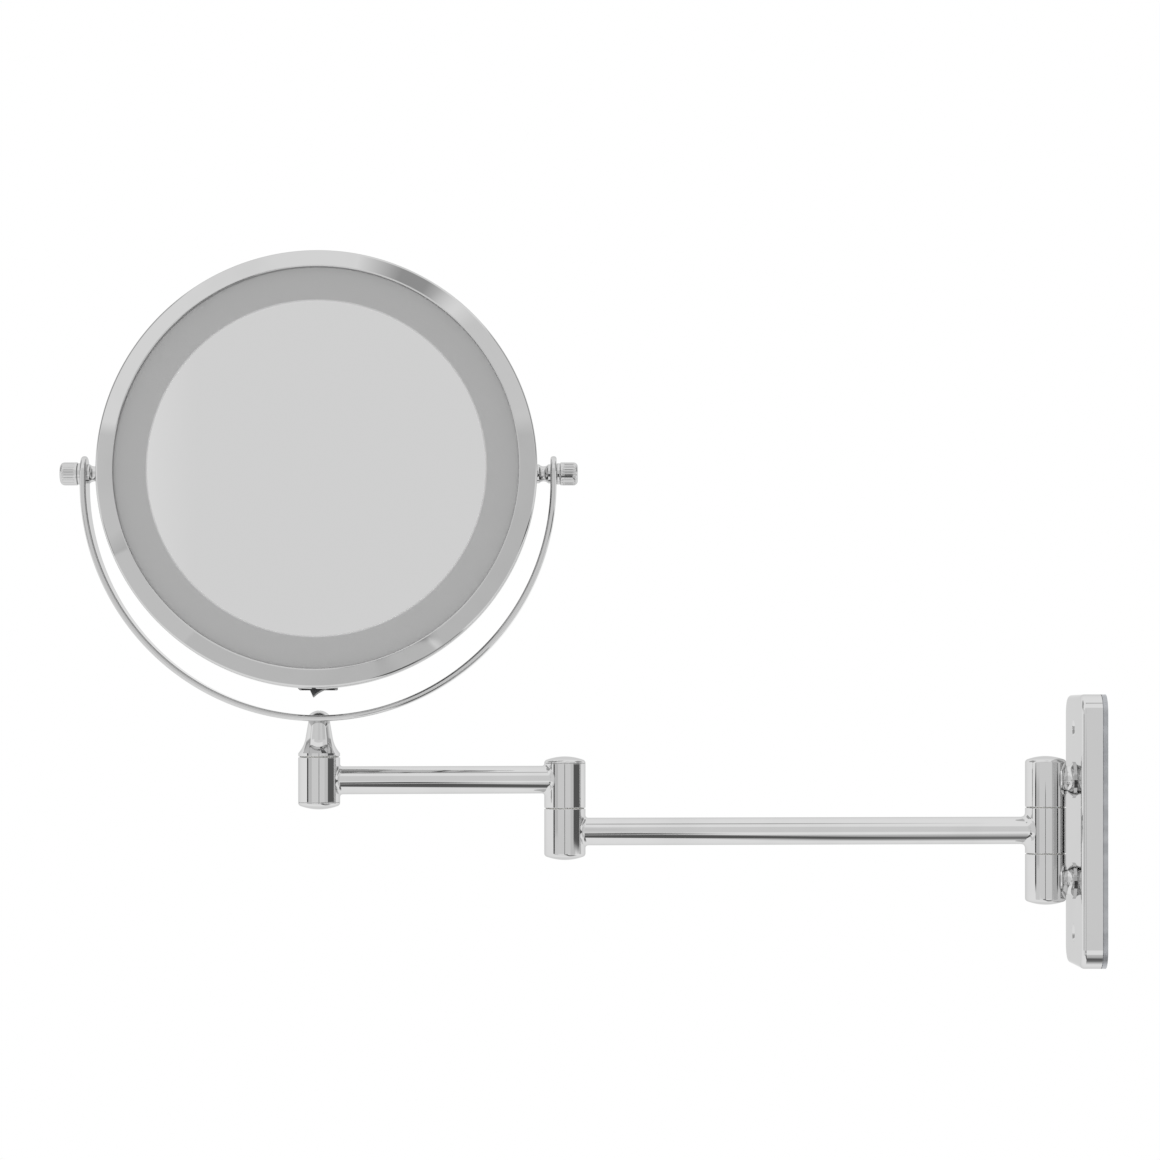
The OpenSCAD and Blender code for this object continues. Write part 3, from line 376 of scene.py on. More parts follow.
def tint(tree, shader, mask, first, second):
    # Inputs 6 and 7 and output 2 are the mix node's colours
    mix = add(tree, "Mix", {0: mask, 6: (*first, 1), 7: (*second, 1)}, data_type="RGBA")
    tree.links.new(mix.outputs[2], shader.inputs["Base Color"])


chromeLook = {"plate": (0.7, 0.7, 0.7), "wiped": (0.67, 0.67, 0.67),
              "grazing": (0.745, 0.745, 0.745, 1), "roughness": 0.025, "wipe": 0.035,
              "bump": 0.02, "wave": 0.0004}
metalLook = {"smoother": 0.8, "rougher": 1.25, "bump": 0.15, "lineDepth": 0.0002}
mouldedLook = {"smoother": 0.9, "rougher": 1.1, "bump": 0.4, "grainDepth": 0.00006}


def chromeFinish(name, waveScale, bumpShare=1.0, paintedShade=1.0):
    # bumpShare weakens the waves; the last value darkens the plating's colour as painted shade, for
    # parts whose reflections look darker
    plate, wiped = ([c * paintedShade for c in chromeLook[key]] for key in ("plate", "wiped"))
    material, tree, shader = newMaterial(name, plate, 1.0, chromeLook["roughness"],
                                         {"Specular Tint": chromeLook["grazing"]})
    marks = placeEffect(tree, polishMarks, {"Wave scale": waveScale, "Wipe": chromeLook["wipe"],
                                            "Roughness": chromeLook["roughness"]})
    tree.links.new(marks["Roughness"], shader.inputs["Roughness"])
    tint(tree, shader, marks["Marks"], plate, wiped)
    addBump(tree, shader, marks["Height"], chromeLook["bump"] * bumpShare, chromeLook["wave"])
    return material


def metalFinish(name, colour, worn, roughness, along):
    look = metalLook
    material, tree, shader = newMaterial(name, colour, 1.0, roughness)
    lines = placeEffect(tree, brushLines, {"Along": along})
    tint(tree, shader, lines["Lines"], colour, worn)
    rough = spread(tree, lines["Lines"], 0.0, 1.0, roughness * look["smoother"],
                   roughness * look["rougher"])
    tree.links.new(rough, shader.inputs["Roughness"])
    addBump(tree, shader, lines["Height"], look["bump"], look["lineDepth"])
    return material


def mouldedFinish(name, colour, worn, roughness, grain, fixed=None):
    look = mouldedLook
    material, tree, shader = newMaterial(name, colour, 0.0, roughness, fixed)
    texture = placeEffect(tree, fineGrain, {"Scale": grain})
    tint(tree, shader, texture["Cloud"], colour, worn)
    rough = spread(tree, texture["Cloud"], 0.0, 1.0, roughness * look["smoother"],
                   roughness * look["rougher"])
    tree.links.new(rough, shader.inputs["Roughness"])
    addBump(tree, shader, texture["Height"], look["bump"], look["grainDepth"])
    return material


finishes = {
    # Chrome: scale of its waves, share of the bump, painted shade that darkens the plating
    "tube": chromeFinish("drawnTubeChrome", 38),
    "knuckle": chromeFinish("turnedKnuckleChrome", 60, 0.8),
    # The rim, strip and small parts are the same chrome, darkened with painted shade
    "rim": chromeFinish("spunRimChrome", 30, 0.8, 0.92),
    "strip": chromeFinish("bentStripChrome", 42, 1.0, 0.93),
    "pressed": chromeFinish("pressedPlateChrome", 26, 0.9),
    "small": chromeFinish("smallPartsChrome", 90, 0.6, 0.93),
    # Metals and mouldings: colour, worn colour, roughness, line stretch or grain scale
    "zinc": metalFinish("zincedSteel", (0.55, 0.56, 0.58), (0.47, 0.48, 0.5), 0.3, 14),
    "sheet": metalFinish("galvanisedSheet", (0.5, 0.51, 0.53), (0.43, 0.44, 0.46), 0.38, 3),
    "brass": metalFinish("stampedBrass", (0.72, 0.53, 0.25), (0.6, 0.43, 0.2), 0.28, 6),
    "nylon": mouldedFinish("naturalNylon", (0.62, 0.61, 0.57), (0.55, 0.54, 0.5), 0.5, 1800,
                           {"Subsurface Weight": 0.1}),
    "white": mouldedFinish("whiteMoulding", (0.8, 0.8, 0.78), (0.74, 0.74, 0.72), 0.45, 2200,
                           {"Subsurface Weight": 0.05}),
    "black": mouldedFinish("switchPlastic", (0.028, 0.028, 0.03), (0.04, 0.04, 0.042), 0.38,
                           3000),
}


boardLook = {"mask": (0.82, 0.82, 0.78), "track": (0.66, 0.68, 0.6), "roughness": 0.35,
             "pitch": 2.4, "trackFrom": 1.5, "trackTo": 1.8, "bump": 0.2, "trackDepth": 0.0001}


def boardFinish():
    # Printed circuit: white mask with copper tracks that show through as faint rings
    look = boardLook
    material, tree, shader = newMaterial("lampBoardMask", look["mask"], 0.0, look["roughness"])
    spot = add(tree, "TexCoord").outputs["Object"]
    away = add(tree, "VectorMath", {0: spot}, operation="LENGTH").outputs["Value"]
    rings = calc(tree, "PINGPONG", calc(tree, "MULTIPLY", away, 1 / mm), look["pitch"])
    copper = spread(tree, rings, look["trackFrom"], look["trackTo"], 0.0, 1.0)
    tint(tree, shader, copper, look["mask"], look["track"])
    addBump(tree, shader, rings, look["bump"], look["trackDepth"])
    return material


lampLook = {"resin": (0.92, 0.74, 0.28), "pale": (0.95, 0.82, 0.45), "roughness": 0.22,
            "coat": 0.6, "grain": 900.0}


def lampFinish():
    # Resin dome over yellow phosphor
    look = lampLook
    material, tree, shader = newMaterial("lampResin", look["resin"], 0.0, look["roughness"],
                                         {"Coat Weight": look["coat"]})
    texture = placeEffect(tree, fineGrain, {"Scale": look["grain"]})
    tint(tree, shader, texture["Cloud"], look["resin"], look["pale"])
    return material


def generatedX(tree):
    # 0 to 1 across the width of the whole piece
    place = add(tree, "TexCoord").outputs["Generated"]
    return add(tree, "SeparateXYZ", {0: place}).outputs[0]


cellLook = {"body": (0.03, 0.11, 0.07), "band": (0.55, 0.46, 0.24), "metallic": 0.4,
            "roughness": 0.3, "bandFrom": 0.42, "grain": 600.0, "bump": 0.1, "depth": 0.00005}


def cellFinish():
    # Printed sleeve: dark body with a bright band across the middle
    look = cellLook
    material, tree, shader = newMaterial("cellSleeve", look["body"], look["metallic"],
                                         look["roughness"])
    toMiddle = calc(tree, "PINGPONG", generatedX(tree), 0.5)
    mask = calc(tree, "GREATER_THAN", toMiddle, look["bandFrom"])
    tint(tree, shader, mask, look["body"], look["band"])
    texture = placeEffect(tree, fineGrain, {"Scale": look["grain"]})
    addBump(tree, shader, texture["Height"], look["bump"], look["depth"])
    return material


wireLook = {"red": (0.38, 0.03, 0.03), "black": (0.03, 0.03, 0.03), "roughness": 0.42,
            "blackFrom": 0.45, "grain": 1500.0, "bump": 0.2, "depth": 0.00005}


def wireFinish():
    # Red sleeves on one side, black ones on the other
    look = wireLook
    material, tree, shader = newMaterial("wireSleeve", look["red"], 0.0, look["roughness"])
    mask = calc(tree, "GREATER_THAN", generatedX(tree), look["blackFrom"])
    tint(tree, shader, mask, look["red"], look["black"])
    texture = placeEffect(tree, fineGrain, {"Scale": look["grain"]})
    addBump(tree, shader, texture["Height"], look["bump"], look["depth"])
    return material


mirrorLook = {"silver": (0.855, 0.855, 0.855), "frost": (0.385, 0.385, 0.385), "frostRough": 0.42,
              "clearRadius": 76.0, "softness": 1.0, "grain": 2600.0, "dustFrom": 0.55,
              "dust": 0.012, "bump": 0.25, "etchDepth": 0.00004}


def mirrorFinish(name, frosted):
    # Silvered glass; the front one is frosted outside its clear zone
    look = mirrorLook
    material, tree, shader = newMaterial(name, look["silver"], 1.0, 0.0)
    spot = add(tree, "TexCoord").outputs["Object"]
    flat = add(tree, "VectorMath", {0: spot, 1: (1, 1, 0)}, operation="MULTIPLY").outputs[0]
    away = add(tree, "VectorMath", {0: flat}, operation="LENGTH").outputs["Value"]
    texture = placeEffect(tree, fineGrain, {"Scale": look["grain"]})
    dust = spread(tree, texture["Cloud"], look["dustFrom"], 1.0, 0.0, look["dust"])
    if not frosted:
        tree.links.new(dust, shader.inputs["Roughness"])
        return material
    low = (look["clearRadius"] - look["softness"] / 2) * mm
    high = (look["clearRadius"] + look["softness"] / 2) * mm
    frost = spread(tree, away, low, high, 0.0, 1.0)
    tint(tree, shader, frost, look["silver"], look["frost"])
    tree.links.new(calc(tree, "SUBTRACT", 1.0, frost), shader.inputs["Metallic"])
    etched = calc(tree, "MULTIPLY_ADD", frost, look["frostRough"], dust)
    tree.links.new(etched, shader.inputs["Roughness"])
    etch = calc(tree, "MULTIPLY", frost, look["bump"])
    addBump(tree, shader, texture["Height"], etch, look["etchDepth"])
    return material


finishes.update(board=boardFinish(), lamp=lampFinish(), cell=cellFinish(), wire=wireFinish(),
                frontGlass=mirrorFinish("frostedMirrorGlass", True),
                backGlass=mirrorFinish("magnifyingMirrorGlass", False))
print("finishes made:", len(finishes))

# Hinge knuckles

knuckle = {"radius": 9.5, "domeRadius": 24, "shoulder": 1.7, "seamEdge": 0.22}


def domeOutline(low, high):
    # From the tip down to the seam
    k = knuckle
    inner = k["radius"] - k["shoulder"]
    reach = k["domeRadius"] - k["shoulder"]
    lean = math.degrees(math.asin(inner / reach))
    shoulderZ = high - k["domeRadius"] + math.sqrt(reach ** 2 - inner ** 2)
    points = arc((0, high - k["domeRadius"]), k["domeRadius"], 90, 90 - lean, 14)
    points[0].x = 0
    points += arc((inner, shoulderZ), k["shoulder"], 90 - lean, 0, 10)[1:]
    edge = outline((k["radius"], shoulderZ), (k["radius"], low, k["seamEdge"]), (0, low), steps=4)
    return points + edge[1:]


def plainOutline(low, high):
    k = knuckle
    return outline((0, high), (k["radius"], high, k["seamEdge"]), (k["radius"], low, k["seamEdge"]),
                   (0, low), steps=4)


def knucklePiece(name, points, place, body, node, flip=False):
    bm = lathe(points, 160)
    if flip:
        turned(bm, flipZ)
    piece(name, bm, place, body, finishes["knuckle"], [node])


wallDome = domeOutline(*heights("upper_wall_knuckle"))
elbowLow, elbowHigh = heights("elbow_lower_knuckle")
capSeat, capTop = heights("elbow_upper_knuckle")[1], heights("elbow_cap")[1]
hubFoot, hubCapFoot = heights("end_hub")[0], heights("hub_cap")[0]
knucklePiece("upperWallKnuckle", wallDome, "stack", "wall_bracket", "upper_wall_knuckle")
knucklePiece("lowerWallKnuckle", wallDome, "stack", "wall_bracket", "lower_wall_knuckle", True)
knucklePiece("innerHub", plainOutline(*heights("inner_hub")), "inner", "inner_arm", "inner_hub")
knucklePiece("elbowLowerKnuckle", domeOutline(-elbowHigh, -elbowLow), "elbow", "inner_arm",
             "elbow_lower_knuckle", True)
knucklePiece("elbowUpperKnuckle", plainOutline(*heights("elbow_upper_knuckle")), "outer",
             "outer_arm", "elbow_upper_knuckle")
knucklePiece("endHub", plainOutline(*heights("end_hub")), "hub", "outer_arm", "end_hub")
knucklePiece("elbowCap", domeOutline(capSeat, capTop), "outer", "outer_arm", "elbow_cap")
knucklePiece("hubCap", domeOutline(-hubFoot, -hubCapFoot), "hub", "outer_arm", "hub_cap", True)
print("knuckles made")

# Wall posts: turned spools between the plate and the outer knuckles

post = {"reach": 13, "height": 23.4, "flange": 8.4, "waist": 3, "cut": 1.8, "from": 6,
        "rimWidth": 0.5, "bore": 2.5}


def wallPost(name, side, node):
    p = post
    waistAt = (p["flange"] + p["waist"] - p["cut"], p["reach"] - p["waist"] - p["rimWidth"])
    half = math.degrees(math.acos((p["waist"] - p["cut"]) / p["waist"]))
    groove = arc(waistAt, p["waist"], 180 + half, 180 - half, 12)
    points = [Vector((p["bore"], p["from"])), Vector((p["flange"], p["from"])), *groove]
    points += outline((p["flange"], p["reach"] - p["rimWidth"]), (p["flange"], p["reach"]),
                      (p["bore"], p["reach"]))
    bm = turned(lathe(points, 96), Matrix.Translation((0, 0, side * p["height"])) @ alongX)
    piece(name, bm, "stack", "wall_bracket", finishes["knuckle"], [node])


wallPost("upperWallPost", 1, "upper_wall_knuckle")
wallPost("lowerWallPost", -1, "lower_wall_knuckle")

# Arm tubes and the brazed fillets at their ends

tube = {"radius": 6.35, "wall": 1.0, "inset": 5.6, "wallFillet": 2.4, "armFillet": 1.4,
        "filletRoot": 0.5}
outerTubeZ = sum(heights("outer_tube")) / 2


def tubePiece(name, length, height, place, body, node):
    t = tube
    inner = t["radius"] - t["wall"]
    low, high = t["inset"], length - t["inset"]
    ring = outline((inner, low), (t["radius"], low), (t["radius"], high), (inner, high))
    bm = turned(lathe(ring, 128, closed=True), lift(height) @ alongX)
    piece(name, bm, place, body, finishes["tube"], [node])


def saddle(turn, radius):
    # How far from the knuckle's axis a tube of this radius meets the knuckle
    return math.sqrt(knuckle["radius"] ** 2 - (radius * math.cos(turn)) ** 2)


def filletLoop(turn, size, steps=8):
    r = tube["radius"]
    knee = Vector((saddle(turn, r), r))
    top = Vector((saddle(turn, r + size), r + size))
    toe = knee + Vector((size, 0))
    points = []
    for k in range(steps + 1):
        s = k / steps
        points.append((1 - s) ** 2 * top + 2 * s * (1 - s) * knee + s ** 2 * toe)
    points.append(knee - Vector((tube["filletRoot"], tube["filletRoot"])))
    return [(p.x, p.y * math.cos(turn), p.y * math.sin(turn)) for p in points]


def filletAt(size, height, backwards=False, turns=96):
    loops = [filletLoop(2 * math.pi * k / turns, size) for k in range(turns)]
    bm = skin(loops, closedStack=True)
    turn = Matrix.Rotation(math.pi, 4, "Z") if backwards else Matrix.Identity(4)
    return turned(bm, lift(height) @ turn)


def filletPiece(name, bm, place, body, node):
    piece(name, bm, place, body, finishes["tube"], [node], sharp=50)


tubePiece("innerTube", innerLength, 0, "elbow", "inner_arm", "inner_tube")
tubePiece("outerTube", outerLength, outerTubeZ, "hub", "outer_arm", "outer_tube")
filletPiece("wallFillet", filletAt(tube["wallFillet"], 0, True), "inner", "inner_arm",
            "inner_wall_fillet")
filletPiece("lowerElbowFillet", filletAt(tube["armFillet"], 0), "elbow", "inner_arm",
            "lower_elbow_fillet")
filletPiece("upperElbowFillet", filletAt(tube["armFillet"], outerTubeZ, True), "outer", "outer_arm",
            "upper_elbow_fillet")
filletPiece("hubFillet", filletAt(tube["armFillet"], outerTubeZ), "hub", "outer_arm", "hub_fillet")
print("arms made")

# Neck

neckLook = {"foot": 9.45, "band": 1.5, "mid": 6.1, "flareTop": 8.6, "flare": 14, "top": 4.85,
            "edge": 0.35, "drop": 112}  # drop: from the pivots down to the strip's underside


def neckOutline(low, high):
    n = neckLook
    start = Vector((n["mid"], low + n["flareTop"]))
    stop = Vector((n["foot"], low + n["band"]))
    chord = stop - start
    out = Vector((-chord.y, chord.x)).normalized()
    centre = (start + stop) / 2 + out * math.sqrt(n["flare"] ** 2 - (chord.length / 2) ** 2)
    first = math.degrees(math.atan2(start.y - centre.y, start.x - centre.x))
    last = math.degrees(math.atan2(stop.y - centre.y, stop.x - centre.x))
    if last - first > 180:
        last -= 360
    points = [Vector((0, high)), Vector((n["top"], high))]
    points += arc(centre, n["flare"], first, last, 16)
    return points + outline(stop, (n["foot"], low, n["edge"]), (0, low), steps=4)[1:]


neckTop = pivotPoint.z - neckLook["drop"]
piece("neckBell", lathe(neckOutline(heights("neck")[0], neckTop + seatGap), 144), "yoke", "yoke",
      finishes["knuckle"], ["neck"])

# Yoke: a flat strip with round ends, bent to a half ring with two straight ends

strip = {"width": 16, "thickness": 2.8, "outer": 107.5, "rise": 4.5, "edge": 1.15, "flat": 0.6}


def stadium(half, radius, sideSteps, capSteps):
    # Closed outline in (along, across); both sides and both round ends have matching points
    side = [(-half + 2 * half * k / sideSteps, radius) for k in range(sideSteps + 1)]
    turns = [math.pi * k / capSteps for k in range(1, capSteps)]
    cap = [(half + radius * math.sin(t), radius * math.cos(t)) for t in turns]
    return side + cap + [(-x, -y) for x, y in side] + [(-x, -y) for x, y in cap]


def bentStrip():
    s = strip
    inner = s["outer"] - s["thickness"]
    middle = s["outer"] - s["thickness"] / 2
    ringHalf = middle * math.pi / 2
    centreZ = pivotPoint.z - s["rise"]
    flatFrom = s["edge"] + s["flat"]
    section = outline((flatFrom, s["thickness"]), (0, s["thickness"], s["edge"]),
                      (0, 0, s["edge"]), (flatFrom, 0), steps=5)
    sideSteps, capSteps = 240, 40

    def bend(along, across, height):
        radius = inner + height
        if abs(along) > ringHalf:
            return (math.copysign(radius, along), across, centreZ + abs(along) - ringHalf)
        turn = along / middle
        return (radius * math.sin(turn), across, centreZ - radius * math.cos(turn))

    loops = []
    for inset, height in section:
        flat = stadium(ringHalf + s["rise"], s["width"] / 2 - inset, sideSteps, capSteps)
        loops.append([bend(x, y, height) for x, y in flat])
    bm = skin(loops)
    # Faces over the flat inside and outside
    bm.verts.ensure_lookup_table()
    count = len(loops[0])
    for base in (0, (len(loops) - 1) * count):
        ring = [bm.verts[base + k] for k in range(count)]
        left = [ring[k] for k in range(sideSteps + 1)]
        right = [ring[(2 * sideSteps + capSteps - k) % count] for k in range(sideSteps + 1)]
        for k in range(sideSteps):
            bm.faces.new((left[k], left[k + 1], right[k + 1], right[k]))
        for first in (sideSteps, 2 * sideSteps + capSteps):
            a = [ring[(first + k) % count] for k in range(capSteps + 1)]
            for k in range(capSteps // 2):
                corners = (a[k], a[k + 1], a[capSteps - k - 1], a[capSteps - k])
                bm.faces.new(distinct(corners))
    return bm


piece("yokeStrip", bentStrip(), "yoke", "yoke", finishes["strip"], ["yoke_strip"])

# Dome-headed screw with a cross recess

screwLook = {"radius": 4.65, "height": 2.1, "sink": 0.1, "shank": 2, "shankLength": 2,
             "slot": 0.8, "slotLength": 4.2, "depth": 1.1, "over": 0.6, "taper": (0.25, 0.5)}


def crossBars():
    # Two crossing bars that taper downwards, to cut the recess with
    s = screwLook
    bars = []
    for turn in (0, 90):
        top = [(x * s["slotLength"] / 2, y * s["slot"] / 2) for x, y in quarters]
        base = [(x * s["taper"][0], y * s["taper"][1], -s["depth"]) for x, y in top]
        bar = skin([[(x, y, s["over"]) for x, y in top], base], capFirst=True, capLast=True)
        bars.append(turned(bar, Matrix.Rotation(math.radians(turn), 4, "Z")))
    return bars


def yokeScrew():
    s = screwLook
    seat = neckTop + strip["thickness"]
    dome = (s["radius"] ** 2 + s["height"] ** 2) / (2 * s["height"])
    half = math.degrees(math.asin(s["radius"] / dome))
    points = arc((0, seat + s["height"] - dome), dome, 90, 90 - half, 20)
    points[0].x = 0
    points += outline((s["radius"], seat - s["sink"]), (s["shank"], seat - s["sink"]),
                      (0, seat - s["shankLength"]))
    top = lift(seat + s["height"])
    return cutAway(lathe(points, 96), *[turned(b, top) for b in crossBars()])


piece("yokeScrew", yokeScrew(), "yoke", "yoke", finishes["small"], ["yoke_screw"],
      flats=True)
print("yoke made")

# Head shells and glasses, turned about the head's own axis

rim = {"outer": 99, "lip": 90.8, "slope": 25, "edge": 1.6, "front": 22.35, "glass": 18.5,
       "skirt": 12.8, "lipEdge": 0.45, "skirtEdge": 0.6, "panPlay": 0.02, "glassPlay": 0.1}
pan = {"radius": 95.5, "front": 17.0, "back": -14, "edge": 6, "wall": 2, "open": 82.5,
       "openEdge": 0.2}
backRim = {"inner": 78, "outer": 88, "thickness": 2, "edge": 0.9}
glass = {"radius": 92.8, "back": 15.5, "front": 18.5, "bevel": 0.3}
magnifier = {"radius": 82.2, "curve": 600, "thickness": 2.5}


def frontBezel():
    r = rim
    rise = math.tan(math.radians(r["slope"]))
    tip = r["front"] - (r["outer"] - r["lip"]) * rise
    overPan = pan["radius"] + r["panPlay"]
    overGlass = glass["radius"] + r["glassPlay"]
    return lathe(outline(
        (r["lip"], r["glass"]), (r["lip"], r["front"], r["lipEdge"]), (r["outer"], tip, r["edge"]),
        (r["outer"], r["skirt"], r["skirtEdge"]), (overPan, r["skirt"]), (overPan, pan["front"]),
        (overGlass, pan["front"]), (overGlass, r["glass"]), closed=True, steps=8), 360, closed=True)


def housingPan():
    p = pan
    inside = p["radius"] - p["wall"]
    front = p["front"] - seatGap
    return lathe(outline(
        (p["radius"], front), (p["radius"], p["back"], p["edge"]),
        (p["open"], p["back"], p["openEdge"]), (p["open"], p["back"] + p["wall"]),
        (inside - p["edge"], p["back"] + p["wall"]), (inside, p["back"] + p["edge"]),
        (inside, front), closed=True, steps=12), 360, closed=True)


def backBezel():
    b = backRim
    low = pan["back"] - b["thickness"]
    return lathe(outline(
        (b["inner"], pan["back"]), (b["inner"], low, b["edge"]), (b["outer"], low, b["edge"]),
        (b["outer"], pan["back"]), closed=True), 360, closed=True)


def glassDisc():
    g = glass
    return lathe(outline(
        (0, g["front"]), (g["radius"], g["front"], g["bevel"]),
        (g["radius"], g["back"], g["bevel"]), (0, g["back"]), steps=3), 360)


def magnifyingGlass():
    # Dished glass with its hollow face to the back
    m = magnifier
    depth = m["curve"] - math.sqrt(m["curve"] ** 2 - m["radius"] ** 2)
    rings = 40
    back = [Vector((m["radius"] * k / rings, 0)) for k in range(rings + 1)]
    centre = pan["back"] + depth - m["curve"]
    for p in back:
        p.y = centre + math.sqrt(m["curve"] ** 2 - p.x ** 2)
    front = [Vector((p.x, p.y + m["thickness"])) for p in reversed(back)]
    return lathe(back + front, 360)


piece("frontBezel", frontBezel(), "head", "mirror_head", finishes["rim"], ["front_bezel"])
piece("housingPan", housingPan(), "head", "mirror_head", finishes["rim"], ["housing"])
piece("backBezel", backBezel(), "head", "mirror_head", finishes["rim"], ["back_bezel"])
piece("frontGlass", glassDisc(), "head", "mirror_head", finishes["frontGlass"],
      ["front_glass"])
piece("backGlass", magnifyingGlass(), "head", "mirror_head", finishes["backGlass"],
      ["back_mirror"])

# Pivots: foot, waisted spacer, collar and fluted knob on each side

foot = {"radius": 4.9, "top": 98.6, "edge": 0.4, "root": 1.5}
spacer = {"radius": 4.3, "waist": 0.9, "flange": 0.16, "bore": 2.5}
collar = {"radius": 4.8, "thickness": 1.55, "edge": 0.3, "bore": 2.5}
knobLook = {"radius": 5.2, "length": 7.95, "gap": 0.1, "nose": 2.0, "edge": 0.35, "flat": 0.4,
            "flutes": 26, "depth": 0.32, "from": 0.9, "hollow": 0.7, "runIn": 0.5, "runOut": 1.2,
            "outFrom": 0.35, "plainFrom": 0.8, "rows": 12, "turnsPerFlute": 12}
yokeInner = strip["outer"] - strip["thickness"]


def pivotFoot():
    f = foot
    root = pan["radius"] - f["root"]
    return lathe(outline((0, f["top"]), (f["radius"], f["top"], f["edge"]), (f["radius"], root),
                         (0, root)), 72)


def pivotSpacer():
    s = spacer
    low, high = foot["top"], yokeInner - seatGap
    half = (high - low) * (0.5 - s["flange"])
    bend = half ** 2 / (2 * s["waist"]) + s["waist"] / 2
    opening = math.degrees(math.asin(half / bend))
    centre = (s["radius"] - s["waist"] + bend, (low + high) / 2)
    groove = arc(centre, bend, 180 + opening, 180 - opening, 14)
    points = [Vector((s["bore"], low)), Vector((s["radius"], low)), *groove,
              Vector((s["radius"], high)), Vector((s["bore"], high))]
    return lathe(points, 96, closed=True)


def pivotCollar():
    c = collar
    low = strip["outer"] + seatGap
    high = low + c["thickness"]
    return lathe(outline((c["bore"], low), (c["radius"], low, c["edge"]),
                         (c["radius"], high, c["edge"]), (c["bore"], high), closed=True, steps=4),
                 96, closed=True)


def flutedKnob():
    n = knobLook
    low = strip["outer"] + collar["thickness"] + n["gap"]
    high = low + n["length"]
    top = high - n["nose"]
    points = outline((0, low), (n["radius"], low, n["edge"]), (n["radius"], low + n["from"]),
                     steps=3)
    for k in range(1, n["rows"]):
        height = low + n["from"] + (top - low - n["from"]) * k / n["rows"]
        points.append(Vector((n["radius"], height)))
    points += arc((n["radius"] - n["nose"], top), n["nose"], 0, 90, 8)
    points.append(Vector((n["radius"] - n["nose"] - n["flat"], high)))
    points.append(Vector((0, high)))

    def radiusAt(r, z, turn):
        # Flutes run in above the foot and out over the rounded nose
        if z < low + n["from"] - 0.01 or r < n["radius"] - n["nose"] * n["plainFrom"]:
            return r
        runIn = min(1.0, (z - low - n["from"]) / n["runIn"])
        runOut = max(0.0, min(1.0, (high - n["nose"] * n["outFrom"] - z) / n["runOut"]))
        wave = max(0.0, math.cos(turn * n["flutes"])) ** n["hollow"]
        return r - n["depth"] * wave * runIn * runOut

    return lathe(points, n["flutes"] * n["turnsPerFlute"], radiusAt=radiusAt)


for side, label in ((1, "right"), (-1, "left")):
    across = alongX if side > 0 else flipX @ alongX
    for name, make, body, node in (("PivotFoot", pivotFoot, "mirror_head", "pivot_spacers"),
                                   ("PivotSpacer", pivotSpacer, "mirror_head", "pivot_spacers"),
                                   ("PivotCollar", pivotCollar, "mirror_head", "pivot_collars"),
                                   ("Knob", flutedKnob, label + "_knob", label + "_knob")):
        piece(label + name, turned(make(), across), "head", body, finishes["small"],
              [node])
print("head made")

# Switch under the rim

switch = {"width": 17.6, "depth": 10.4, "corner": 1.2, "face": -98, "edge": 0.45, "edgeSteps": 6,
          "cavity": (15, 7.4), "cavityCorner": 0.3, "mouthCorner": 0.4, "chamfer": 0.15,
          "cavityFoot": -89, "root": -93}
rocker = {"half": 6.4, "ridge": -9.2, "end": -3.6, "top": -1.6, "thickness": 6.8, "throw": 13,
          "pivot": -92.5, "hollow": 14, "hollowSteps": 14, "edge": 0.35}


def levelLoop(points, y):
    return [(p[0], y, p[1]) for p in points]


def switchFlange():
    s = switch
    side = roundRect(s["width"], s["depth"], s["corner"])
    loops = [levelLoop(side, s["root"]), levelLoop(side, s["face"] + s["edge"] + supportGap)]
    for k in range(s["edgeSteps"] + 1):
        t = math.radians(90 * k / s["edgeSteps"])
        inset = s["edge"] * (1 - math.cos(t))
        y = s["face"] + s["edge"] * (1 - math.sin(t))
        loops.append(levelLoop(roundRect(s["width"] - 2 * inset, s["depth"] - 2 * inset,
                                         s["corner"] - inset), y))
    wide, deep = s["cavity"]
    mouth = roundRect(wide + 2 * s["chamfer"], deep + 2 * s["chamfer"], s["mouthCorner"])
    cavity = roundRect(wide, deep, s["cavityCorner"])
    loops.append(levelLoop(mouth, s["face"]))
    loops.append(levelLoop(cavity, s["face"] + s["chamfer"]))
    loops.append(levelLoop(cavity, s["cavityFoot"]))
    return skin(loops, capFirst=True, capLast=True)


def rockerBody():
    # Hollow flanks fall from the ridge to both ends
    r = rocker
    start, stop = Vector((0, r["ridge"])), Vector((r["half"], r["end"]))
    flank = Vector((r["half"], r["ridge"] - r["end"]))
    sag = r["hollow"] - math.sqrt(r["hollow"] ** 2 - (flank.length / 2) ** 2)
    inward = Vector((-abs(flank.y), r["half"])).normalized()
    run = []
    for k in range(1, r["hollowSteps"] + 1):
        s = k / r["hollowSteps"]
        run.append(start.lerp(stop, s) + inward * sag * 4 * s * (1 - s))
    points = [*run, Vector((r["half"], r["top"])), Vector((-r["half"], r["top"]))]
    points += [Vector((-p.x, p.y)) for p in reversed(run)]
    points.append(start)
    centre = Vector((0, (r["ridge"] + r["top"]) / 2))
    half, edge = r["thickness"] / 2, r["edge"]
    loops = []
    for z, inset in ((-half, edge), (-half + edge, 0), (half - edge, 0), (half, edge)):
        loops.append([(*(p + (centre - p).normalized() * inset), z) for p in points])
    bm = skin(loops, capFirst=True, capLast=True)
    return turned(bm, Matrix.Translation((0, r["pivot"], 0)) @
                  Matrix.Rotation(math.radians(-r["throw"]), 4, "Z"))


piece("switchFlange", switchFlange(), "head", "mirror_head", finishes["black"],
      ["switch_body"], flats=True)
piece("switchRocker", rockerBody(), "head", "rocker", finishes["black"],
      ["switch_rocker"], sharp=40, flats=True)
print("switch made")

# CAD nodes that stay as they are, with their finishes

